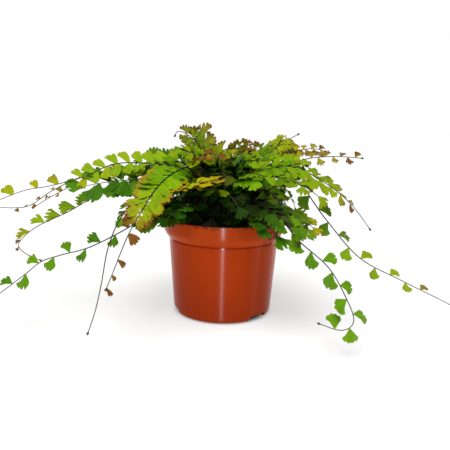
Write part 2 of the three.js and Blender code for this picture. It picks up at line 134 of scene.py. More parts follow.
# One material: its Principled shader and every other node, made by one method.
class Recipe:
    def __init__(self, name, **constants):
        self.material = bpy.data.materials.new(name)
        self.material.use_nodes = True
        self.tree = self.material.node_tree
        self.shader = self.tree.nodes["Principled BSDF"]
        self.finish(**constants)

    def node(self, kind, settings=None, inputs=None, output=0):
        made = self.tree.nodes.new(kind)
        for key, value in (settings or {}).items():
            if key == "stops":
                self.fillRamp(made.color_ramp, value)
            else:
                setattr(made, key, value)
        for key, value in (inputs or {}).items():
            self.plug(made.inputs[key], value)
        return Wire(self, made.outputs[output])

    def fillRamp(self, ramp, stops):
        while len(ramp.elements) < len(stops):
            ramp.elements.new(1.0)
        for element, (place, card) in zip(ramp.elements, stops):
            element.position, element.color = place, paint(card)

    # a wire is linked, a colour card is painted, a number stays as it is
    def plug(self, socket, value):
        if isinstance(value, Wire):
            self.tree.links.new(value.socket, socket)
        else:
            socket.default_value = paint(value) if isinstance(value, str) else value

    def maths(self, operation, first, second=0.0, clamp=False):
        return self.node("ShaderNodeMath", {"operation": operation, "use_clamp": clamp}, {0: first, 1: second})

    # 0 below low, 1 above high, eased between
    def between(self, value, low, high):
        settings = {"interpolation_type": "SMOOTHSTEP"}
        return self.node("ShaderNodeMapRange", settings, {"Value": value, "From Min": low, "From Max": high})

    def mixed(self, share, first, second):
        return self.node("ShaderNodeMix", {"data_type": "RGBA"}, {0: share, 6: first, 7: second}, output=2)

    # one part of a vector: "X", "Y" or "Z"
    def part(self, vector, axis):
        return self.node("ShaderNodeSeparateXYZ", None, {0: vector}, output=axis)

    # how far a place is from a point
    def away(self, place, point=(0, 0, 0)):
        return self.node("ShaderNodeVectorMath", {"operation": "DISTANCE"}, {0: place, 1: point}, output="Value")

    def place(self):
        return self.node("ShaderNodeTexCoord", output="Object")

    def mark(self, name):
        return self.node("ShaderNodeAttribute", {"attribute_name": name}, output="Fac")

    def noise(self, where, scale, detail=2.0, roughness=0.5):
        inputs = {"Vector": where, "Scale": scale, "Detail": detail, "Roughness": roughness}
        return self.node("ShaderNodeTexNoise", None, inputs)

    def bump(self, height, strength, distance):
        inputs = {"Height": height, "Strength": strength, "Distance": distance}
        return self.node("ShaderNodeBump", None, inputs)

    def finish(self, **values):
        for key, value in values.items():
            self.plug(self.shader.inputs[key.replace("_", " ")], value)
        return self.material


# The camera stands where the pot's outline in the photo puts it: place and lens in millimetres, turns in radians.
view = dict(place=(1.1, -520, 188), down=0.194, roll=0.026, lens=42.5, film=36, nearest=10)


def makeCamera():
    camera = bpy.data.objects.new("camera", bpy.data.cameras.new("camera"))
    bpy.context.scene.collection.objects.link(camera)
    camera.location = [v * mm for v in view["place"]]
    camera.rotation_mode = "QUATERNION"
    level = Euler((math.pi / 2 - view["down"], 0, 0)).to_quaternion()
    camera.rotation_quaternion = level @ Quaternion((0, 0, 1), view["roll"])
    camera.data.lens = view["lens"]
    camera.data.sensor_width = view["film"]
    camera.data.clip_start = view["nearest"] * mm
    bpy.context.scene.camera = camera


studio = dict(
    backdrop=1.0, sky=0.16,  # as the camera sees it, and as it lights the plant
    sun=(-0.14, -0.32, 1.0), sunPower=3.3, sunSoftness=44,  # the way towards it, its strength, degrees across
    floorRadius=6.0, floorSides=96, floorDrop=0.0004, floorColour="#a9a9a8", glow=0.58,
    # painted shadow under the pot: the floor hardly glows within these metres of the axis
    paintedFootShadow=(0.040, 0.052), paintedFootShadowGlow=(0.02, 0.02, 0.02, 1),  # hardly any glow under the pot, within these metres
    aim=(0, 0, 0.05),
    strips=[  # name, place, width, height, watts; they only show as gloss
        ("frontStrip", (-0.02, -1.30, 0.48), 0.03, 0.9, 80.0),
        ("rightStrip", (1.15, -0.30, 0.50), 0.25, 0.9, 10.0),
        ("backLeftStrip", (-0.80, 1.10, 0.30), 0.60, 0.9, 8.0),
        ("backRightStrip", (0.90, 1.00, 0.30), 0.80, 0.9, 16.0),
    ],
)


def makeLamp(name, kind, place, aim, **settings):
    data = bpy.data.lights.new(name, kind)
    for key, value in settings.items():
        setattr(data, key, value)
    lamp = bpy.data.objects.new(name, data)
    bpy.context.scene.collection.objects.link(lamp)
    lamp.location = place
    lamp.rotation_mode = "QUATERNION"
    lamp.visible_camera = False
    lamp.rotation_quaternion = (Vector(aim) - Vector(place)).to_track_quat("-Z", "Y")
    return lamp


# A sky that lights faintly but looks white, a wide soft sun, gloss strips, and a light floor with a glow of its own,
# painted light that lightens the shadows on it, and a painted shadow under the pot where the glow stops.
def makeStudio():
    world = bpy.data.worlds.new("studioSky")
    world.use_nodes = True
    nodes, links = world.node_tree.nodes, world.node_tree.links
    sky, paper, mix = nodes["Background"], nodes.new("ShaderNodeBackground"), nodes.new("ShaderNodeMixShader")
    sky.inputs["Color"].default_value = paper.inputs["Color"].default_value = white
    sky.inputs["Strength"].default_value = studio["sky"]
    paper.inputs["Strength"].default_value = studio["backdrop"]
    links.new(nodes.new("ShaderNodeLightPath").outputs["Is Camera Ray"], mix.inputs[0])
    links.new(sky.outputs[0], mix.inputs[1])
    links.new(paper.outputs[0], mix.inputs[2])
    links.new(mix.outputs[0], nodes["World Output"].inputs[0])
    bpy.context.scene.world = world
    bpy.context.scene.view_settings.view_transform = "Standard"
    makeLamp("softSun", "SUN", studio["sun"], (0, 0, 0), energy=studio["sunPower"],
             angle=math.radians(studio["sunSoftness"]))
    for name, place, width, height, watts in studio["strips"]:
        size = dict(shape="RECTANGLE", size=width, size_y=height)
        makeLamp(name, "AREA", place, studio["aim"], energy=watts, **size).visible_diffuse = False
    bpy.ops.mesh.primitive_circle_add(vertices=studio["floorSides"], radius=studio["floorRadius"], fill_type="NGON")
    floor = bpy.context.object
    floor.name = "floor"
    floor.location.z = -studio["floorDrop"]
    card = Recipe("floorCard", Roughness=0.9, Specular_IOR_Level=0.1, Emission_Strength=studio["glow"])
    place = card.place()
    # painted shadow under the pot: the floor's glow fades out near the axis
    beyond = card.between(card.away(place), *studio["paintedFootShadow"])
    floor.data.materials.append(card.finish(
        Base_Color=card.mixed(card.noise(place, 30.0) * 0.02, studio["floorColour"], white),
        Emission_Color=card.mixed(beyond, studio["paintedFootShadowGlow"], white)))


pot = dict(
    height=95.0, foot=48.5, footRounding=(4.2, 3.0), wall=1.2, sides=240, step=3.0, crease=50,
    # corners from the foot's edge up outside and over the rim, then down inside: radius, height, rounding
    outside=[(54.1, 74.2, 0.5), (53.4, 74.6, 0.25), (53.4, 75.1, 0.25), (55.3, 76.4, 1.4), (59.2, 81.8, 3.2),
             (60.0, 94.9, 0.5), (59.0, 95.0, 0.4)],
    inside=[(58.7, 94.0, 0.5), (58.0, 82.2, 2.4), (54.4, 77.9, 1.6), (51.5, 75.7, 0.8), (51.5, 74.2, 0.6),
            (52.7, 72.6, 0.9)],
    rimRings=3,  # rings past the rim's highest that still belong to the outside
    channelTurns=(-43, 77, 197), channelStart=17.0, channelWidth=20.0, channelHeight=4.0, channelEase=(0.7, 2),
    drainReach=35.0, drainRadius=4.5, drainSides=40, drainDepth=20, drainMiddle=4,
    colour="#b53b03", deep="#9d2f01", paleForCloudAndPaintedLight="#bb450b", paintedGrooveShade="#4a1402", dirt="#20100a",
    # where the finish changes, in metres: from the darker colour, painted shade towards the foot, to the plain one;
    # to the lighter collar, painted light; the groove's painted shade; a smear of soil on the collar's right side,
    # dust near the rim
    deepen=(0.0, 0.075), collar=(0.0745, 0.080), groove=0.0748, grooveWidth=(0.0004, 0.0012),
    smear=(0.0445, -0.037, 0.083), smearSize=(0.004, 0.016), dust=(0.0895, 0.0948),
)


# Rounds each corner of a profile: a curve bent towards the corner joins two points at the given radius from it.
def roundedProfile(corners, steps=6):
    points = np.array([c[:2] for c in corners], dtype=float)
    line = [points[:1]]
    t = np.linspace(0, 1, steps)[:, None]
    for before, here, after, radius in zip(points, points[1:], points[2:], [c[2] for c in corners[1:]]):
        start = here + unit(before - here) * radius
        end = here + unit(after - here) * radius
        line.append((1 - t) ** 2 * start + 2 * t * (1 - t) * here + t ** 2 * end)
    return np.vstack(line + [points[-1:]])


# Cuts every stretch of a profile into pieces no longer than step.
def finelyCut(profile, step):
    pieces = []
    for start, end in zip(profile, profile[1:]):
        count = max(1, int(np.ceil(np.linalg.norm(end - start) / step)))
        pieces.append(start + (end - start) * np.arange(count)[:, None] / count)
    return np.vstack(pieces + [profile[-1:]])


# Turns a profile from pole to pole about the axis: rings between its two ends, and a fan of triangles at each.
def turnedSurface(profile, sides):
    turn = np.arange(sides) * 2 * np.pi / sides
    rings = profile[1:-1]
    around = np.stack([np.sin(turn), -np.cos(turn)], axis=-1)
    flat = rings[:, None, :1] * around[None]
    tall = np.repeat(rings[:, 1], sides).reshape(len(rings), sides, 1)
    points = np.concatenate([flat, tall], axis=-1).reshape(-1, 3)
    poles = np.array([[0, 0, profile[0, 1]], [0, 0, profile[-1, 1]]])
    faces = gridQuads(len(rings), sides, closed=True).tolist() + poleFans(len(rings), sides).tolist()
    return np.vstack([points, poles]), faces


# 1 inside a drainage channel and 0 outside, eased over its sides and its inner end.
def channelShare(points, margin=0.0):
    share = np.zeros(len(points))
    half, start = pot["channelWidth"] / 2 + margin, pot["channelStart"] - margin
    sideEase, endEase = pot["channelEase"]
    for turn in np.radians(pot["channelTurns"]):
        out = points[:, 0] * np.cos(turn) + points[:, 1] * np.sin(turn)
        side = np.abs(points[:, 1] * np.cos(turn) - points[:, 0] * np.sin(turn))
        inside = (1 - eased(side, half - sideEase, half + sideEase)) * eased(out, start - endEase, start)
        share = np.maximum(share, inside)
    return share


# The shell is its profile turned; each channel lifts the underside, and the bottom inside by a wall more.
def makePot():
    wall, foot = pot["wall"], pot["foot"]
    under, within = pot["footRounding"]
    corners = [(0, 0, 0), (foot, 0, under), *pot["outside"],
               *pot["inside"], (foot - wall, wall, within), (0, wall, 0)]
    profile = finelyCut(roundedProfile(corners), pot["step"])
    points, faces = turnedSurface(profile, pot["sides"])
    rimAt = int(np.argmax(profile[:, 1] >= pot["height"] - 1e-6))
    outside = np.arange(len(points)) < (rimAt + pot["rimRings"]) * pot["sides"]
    outside[-2], outside[-1] = True, False  # the two poles
    raised = pot["channelHeight"] * channelShare(points)
    lifted = (pot["channelHeight"] + wall) * channelShare(points, wall)
    points[:, 2] = np.maximum(points[:, 2], np.where(outside, raised, lifted))
    piece = makePiece("nurseryPot", points * mm, faces, [potPlastic()], ["pot"])
    drill(piece)
    piece.data.set_sharp_from_angle(angle=math.radians(pot["crease"]))
    print("pot made:", len(piece.data.polygons), "faces")


# Cuts the drain holes with short round bars.
def drill(piece):
    bars = []
    for turn in np.radians(pot["channelTurns"]):
        x, y = onCircle(pot["drainReach"], turn)
        bpy.ops.mesh.primitive_cylinder_add(
            vertices=pot["drainSides"], radius=pot["drainRadius"] * mm, depth=pot["drainDepth"] * mm,
            location=(x * mm, y * mm, pot["drainMiddle"] * mm))
        bars.append(bpy.context.object)
    for bar in bars:
        cut = piece.modifiers.new("drain", "BOOLEAN")
        cut.operation, cut.object, cut.solver = "DIFFERENCE", bar, "MANIFOLD"
    whole = piece.evaluated_get(bpy.context.evaluated_depsgraph_get())
    drilled = bpy.data.meshes.new_from_object(whole)
    piece.modifiers.clear()
    piece.data = drilled
    for bar in bars:
        bpy.data.objects.remove(bar)


# Glossy moulded plastic: fine rings from the mould, painted shade darker towards the foot, a paler collar that is
# painted light, painted shade in the groove, faint clouding, and soil dried on near the rim.
def potPlastic():
    plastic = Recipe("terracottaPlastic", Specular_IOR_Level=0.07, Anisotropic=1.0, Anisotropic_Rotation=0.25)
    place = plastic.place()
    height = plastic.part(place, "Z")
    cloud = plastic.noise(place, 22.0, 3.0)
    crumbs = plastic.noise(place, 260.0, 4.0, 0.65)
    # painted shade: darker towards the foot
    body = plastic.mixed(plastic.between(height, *pot["deepen"]), pot["deep"], pot["colour"])
    # painted light: the collar lighter; the same lighter colour also gives the plastic's own faint clouding
    for share in (plastic.between(height, *pot["collar"]) * 0.35, plastic.between(cloud, 0.45, 0.75) * 0.18):
        body = plastic.mixed(share, body, pot["paleForCloudAndPaintedLight"])
    # painted shade in the groove under the collar
    inGroove = 1 - plastic.between(plastic.maths("ABSOLUTE", height - pot["groove"]), *pot["grooveWidth"])
    body = plastic.mixed(inGroove * 0.12, body, pot["paintedGrooveShade"])
    near = 1 - plastic.between(plastic.away(place, pot["smear"]), *pot["smearSize"])
    dust = plastic.between(height, *pot["dust"]) * plastic.between(crumbs, 0.51, 0.60) * 0.8
    soiled = plastic.maths("MAXIMUM", near * plastic.between(crumbs, 0.44, 0.55), dust, clamp=True)
    fine = {"W": height, "Scale": 2600.0, "Detail": 1.0}
    rings = plastic.node("ShaderNodeTexNoise", {"noise_dimensions": "1D"}, fine)
    return plastic.finish(
        Base_Color=plastic.mixed(soiled * 0.85, body, pot["dirt"]),
        Roughness=0.23 + cloud * 0.05 + soiled * 0.5,
        Normal=plastic.bump(rings, 0.06, 0.0001),
    )


soil = dict(
    gap=0.3, edgeHeight=90.5, middleHeight=91.5, moundReach=58, roughness=1.6, pitch=0.32, calmed=(56, 59),
    sides=150, step=2.0, topEdge=0.6,
    seeds=dict(top=3, strewn=11, banks=8, crumbs=5, perlite=6),
    # corners up the side, between the foot and the top: radius, height, rounding
    side=[(52.5, 71.6, 0.8), (50.1, 73.5, 0.8), (50.1, 75.1, 0.8), (54.2, 78.4, 1.5), (57.8, 81.7, 2.2)],
    edge=58.3, footRounding=2.5,
    # crumbs: every third lies in the outer ring, the rest anywhere; bank is how high they heap up at the wall
    crumbs=520, crumbSize=(0.7, 2.6), crumbRing=(52, 58), crumbReach=57, crumbRaised=0.35, crumbGap=0.1,
    bank=2.6, bankFrom=(50, 57.5), bankPitch=0.12,
    # spilt on the rim: how many, degrees, radius, height, size
    spilt=90, spiltTurns=(-110, -28), spiltOut=(58.7, 59.6), spiltHeight=(94.8, 95.3), spiltSize=(0.35, 0.95),
    perlite=26, perliteReach=56, perliteSize=(0.8, 1.5),
    dark="#120b07", light="#3a271a", perliteColour="#cfc9bc", perlitePit="#8d8577",
)


# A smooth random field: sines of rising pitch and falling size, each turned and shifted by the seed.
def ripple(x, y, pitch, seed, octaves=5):
    random = np.random.RandomState(seed)
    total = np.zeros_like(x)
    for octave in range(octaves):
        for _ in range(4):
            turn, shift = random.uniform(0, 2 * np.pi, 2)
            wave = (x * np.cos(turn) + y * np.sin(turn)) * pitch * 1.9 ** octave
            total += np.sin(wave + shift + 1.7 * np.sin(0.6 * wave + turn)) * 0.62 ** octave / 4
    return total


# A low mound with a rippled top, calmer at the wall.
def soilHeight(x, y):
    out = np.hypot(x, y)
    mound = runs((soil["edgeHeight"], soil["middleHeight"]), 1 - (out / soil["moundReach"]) ** 2)
    rough = soil["roughness"] * ripple(x, y, soil["pitch"], soil["seeds"]["top"])
    return mound + rough * (1 - eased(out, *soil["calmed"]) * 0.6)


# Rough little lumps: a ball of rings with each corner pushed in or out, stretched and turned at random.
def lumps(centres, sizes, seed, rows=5, columns=7):
    random = np.random.RandomState(seed)
    tall = np.linspace(-np.pi / 2 + 0.35, np.pi / 2 - 0.35, rows)
    turn = np.arange(columns) * 2 * np.pi / columns
    ball = np.stack([np.cos(tall)[:, None] * np.cos(turn), np.cos(tall)[:, None] * np.sin(turn),
                     np.sin(tall)[:, None] * np.ones(columns)], axis=-1).reshape(-1, 3)
    ball = np.vstack([ball, [[0, 0, -1], [0, 0, 1]]])
    count = len(centres)
    push = random.uniform(0.7, 1.25, (count, len(ball), 1))
    stretch = random.uniform(0.55, 1.3, (count, 1, 3))
    spin = np.linalg.qr(random.normal(size=(count, 3, 3)))[0]
    spin[np.linalg.det(spin) < 0, :, 0] *= -1
    points = np.einsum("kij,knj->kni", spin, ball[None] * push * stretch) * sizes[:, None, None] + centres[:, None]
    steps = np.arange(count)[:, None, None] * len(ball)
    quads, fans = gridQuads(rows, columns, closed=True), poleFans(rows, columns)
    return points.reshape(-1, 3), (quads + steps).reshape(-1, 4).tolist() + (fans + steps).reshape(-1, 3).tolist()


# The soil is its profile turned, rough on top and raised over the channels, with crumbs and grains strewn on it.
def makeSoil():
    drawnIn, top = pot["wall"] + soil["gap"], soil["edgeHeight"]
    corners = [(0, drawnIn, 0), (pot["foot"] - drawnIn, drawnIn, soil["footRounding"]), *soil["side"],
               (soil["edge"], top, soil["topEdge"]), (0, top, 0)]
    profile = finelyCut(roundedProfile(corners), soil["step"])
    points, faces = turnedSurface(profile, soil["sides"])
    onTop = points[:, 2] > top - soil["topEdge"]
    points[onTop, 2] += soilHeight(points[onTop, 0], points[onTop, 1]) - top
    raised = (pot["channelHeight"] + drawnIn) * channelShare(points, drawnIn)
    points[:, 2] = np.where(onTop, points[:, 2], np.maximum(points[:, 2], raised))
    makePiece("compost", points * mm, faces, [soilEarth("peatEarth")], ["potting_soil"])

    seeds, count = soil["seeds"], soil["crumbs"]
    random = np.random.RandomState(seeds["strewn"])
    turn = random.uniform(0, 2 * np.pi, count)
    out = np.where(np.arange(count) % 3 == 0, random.uniform(*soil["crumbRing"], count),
                   soil["crumbReach"] * np.sqrt(random.uniform(0.15, 1, count)))
    sizes = random.uniform(*soil["crumbSize"], count) * random.uniform(0.5, 1, count)
    x, y = onCircle(out, turn)
    uneven = 0.5 + 0.5 * ripple(x, y, soil["bankPitch"], seeds["banks"], octaves=2)
    banked = soil["bank"] * eased(out, *soil["bankFrom"]) * uneven
    centres = np.stack([x, y, soilHeight(x, y) + sizes * soil["crumbRaised"] + banked], axis=-1)
    keep = out + sizes < soil["edge"] - soil["crumbGap"]
    count = soil["spilt"]
    turn = np.radians(random.uniform(*soil["spiltTurns"], count))
    x, y = onCircle(random.uniform(*soil["spiltOut"], count), turn)
    strewn = np.stack([x, y, random.uniform(*soil["spiltHeight"], count)], axis=-1)
    sizes = np.append(sizes[keep], random.uniform(*soil["spiltSize"], count))
    points, faces = lumps(np.vstack([centres[keep], strewn]), sizes, seeds["crumbs"])
    makePiece("compostCrumbs", points * mm, faces, [soilEarth("crumbEarth")])

    count = soil["perlite"]
    turn = random.uniform(0, 2 * np.pi, count)
    x, y = onCircle(soil["perliteReach"] * np.sqrt(random.uniform(0.3, 1, count)), turn)
    centres = np.stack([x, y, soilHeight(x, y) + soil["perliteSize"][0]], axis=-1)
    points, faces = lumps(centres, random.uniform(*soil["perliteSize"], count), seeds["perlite"])
    makePiece("perliteGrains", points * mm, faces, [perliteStone()])
    print("soil made")


# Moist peat: dark and light flecks of two sizes, with a rough broken surface.
def soilEarth(name):
    earth = Recipe(name, Specular_IOR_Level=0.05)
    place = earth.place()
    coarse, fine = earth.noise(place, 160.0, 5.0, 0.7), earth.noise(place, 900.0, 4.0, 0.7)
    share = earth.between(coarse * 0.6 + fine * 0.4, 0.38, 0.66)
    return earth.finish(
        Base_Color=earth.mixed(share, soil["dark"], soil["light"]),
        Roughness=0.8 + fine * 0.2,
        Normal=earth.bump(coarse + fine * 0.5, 0.9, 0.0012),
    )


# Puffed volcanic glass: off-white with grey pits.
def perliteStone():
    stone = Recipe("perliteStone")
    pits = stone.noise(stone.place(), 900.0, 3.0)
    share = stone.between(pits, 0.35, 0.6)
    return stone.finish(
        Base_Color=stone.mixed(share, soil["perlitePit"], soil["perliteColour"]),
        Roughness=0.75 + pits * 0.2,
        Normal=stone.bump(pits, 0.6, 0.0005),
    )


crown = dict(
    outline=[(0, 82.7), (20.8, 82.7), (25, 84.5), (27, 87.6), (26, 90.1), (24.4, 91.7), (0, 91.7)],  # radius, height
    step=1.3, sides=96, swell=0.05, lobes=5, seed=21,
    knuckles=46, spread=24, knuckleRise=(1.2, 3.2), knuckleWidth=2.3, topFrom=90, topSunk=0.6,
    roughness=0.25, pitch=1.1, roughSeed=31,
    stubs=16, stubReach=(4, 22), stubLean=0.35, stubLength=(6, 13), stubFoot=90.5, stubRadii=(1.0, 0.8),
    stubRings=6, stubSides=8,
    dark="#1c0f0a", light="#4b2c1a", stubDark="#2a1a10", stubLight="#5d4326",
)


# The rootstock: a low disc swollen into knuckles, each a smooth bump on its top, set out on a sunflower's spiral.
def makeCrown():
    points, faces = turnedSurface(finelyCut(np.array(crown["outline"]), crown["step"]), crown["sides"])
    turn = np.arctan2(points[:, 1], points[:, 0])
    points[:, :2] *= (1 + crown["swell"] * np.cos(crown["lobes"] * turn))[:, None]
    random = np.random.RandomState(crown["seed"])
    golden, index = np.pi * (3 - np.sqrt(5)), np.arange(crown["knuckles"])
    out = crown["spread"] * np.sqrt((index + 0.5) / crown["knuckles"])
    spots = np.stack(onCircle(out, index * golden), axis=-1)
    rise = random.uniform(*crown["knuckleRise"], crown["knuckles"])
    top = points[:, 2] > crown["topFrom"]
    away = np.linalg.norm(points[top, None, :2] - spots[None], axis=-1)
    points[top, 2] += (rise * np.exp(-(away / crown["knuckleWidth"]) ** 2)).max(axis=1) - crown["topSunk"]
    rough = ripple(points[:, 0], points[:, 1], crown["pitch"], crown["roughSeed"], octaves=3)
    points[:, 2] += crown["roughness"] * rough * top
    makePiece("rootstock", points * mm, faces, [barkSkin()], ["crown"])
    stubs, rings = [], crown["stubRings"]
    for _ in range(crown["stubs"]):
        spin = random.uniform(0, 2 * np.pi)
        x, y = onCircle(random.uniform(*crown["stubReach"]), spin)
        lean = random.uniform(-crown["stubLean"], crown["stubLean"], 2)
        foot = np.array([x, y, crown["stubFoot"]])
        tip = foot + np.array([*lean, 1]) * random.uniform(*crown["stubLength"])
        radii = np.linspace(*crown["stubRadii"], rings)
        stubs.append(tube(np.linspace(foot, tip, rings), radii, crown["stubSides"]))
    points, faces = joined(stubs)
    skin = stalkSkin("oldStalk", crown["stubDark"], crown["stubLight"])
    makePiece("cutStalks", points * mm, faces, [skin])
    print("crown made")


# Dry scales over dark bark.
def barkSkin():
    bark = Recipe("rootstockBark", Specular_IOR_Level=0.05)
    place = bark.place()
    scales = bark.node("ShaderNodeTexVoronoi", None, {"Vector": place, "Scale": 330.0})
    grain = bark.noise(place, 500.0, 4.0, 0.7)
    share = bark.between(scales + grain * 0.4, 0.3, 0.8)
    return bark.finish(
        Base_Color=bark.mixed(share, crown["dark"], crown["light"]),
        Roughness=0.75 + grain * 0.2,
        Normal=bark.bump(scales + grain * 0.3, 0.8, 0.0008),
    )


# shaded: the leaf tissue's less glossy copy, painted shade for fronds in the heart of the plant.
# way: points on the stalk in millimetres, from the crown to the tip. face: where the upper side looks.
# bare, whip: bare lengths at the foot and the tip. gap: from leaflet to leaflet. leaf: the largest leaflet's length.
# tint: 0 yellow, 0.25 bright green, 0.6 green, 1 near black, partly the frond's own dark green and partly painted
# shade,
# at the foot and the tip. blush: how brown, at both.
# edge: how brown the margins are. wide: width over length. taper: how much smaller towards the tip.
# strays: leaflets on the whip, by distance from the tip, side and length. sides: the order where they aren't paired.
# calm: how much they differ. ragged: every third is longer. notch: depths. shoulder: how square. Angles in radians.
# What an entry leaves out is as here.
plainFrond = dict(
    whip=1, paired=True, sides=(-1, 1), strays=(), blush=(0, 0), edge=0, wide=1, taper=0.2, ragged=0, shaded=False,
    calm=1, notch=(0.08, 0.40), shoulder=0.75, fan=1.4, ripple=0.035, cup=0.08, sag=0.10,
    lean=0.30, droop=0.10, twist=0)

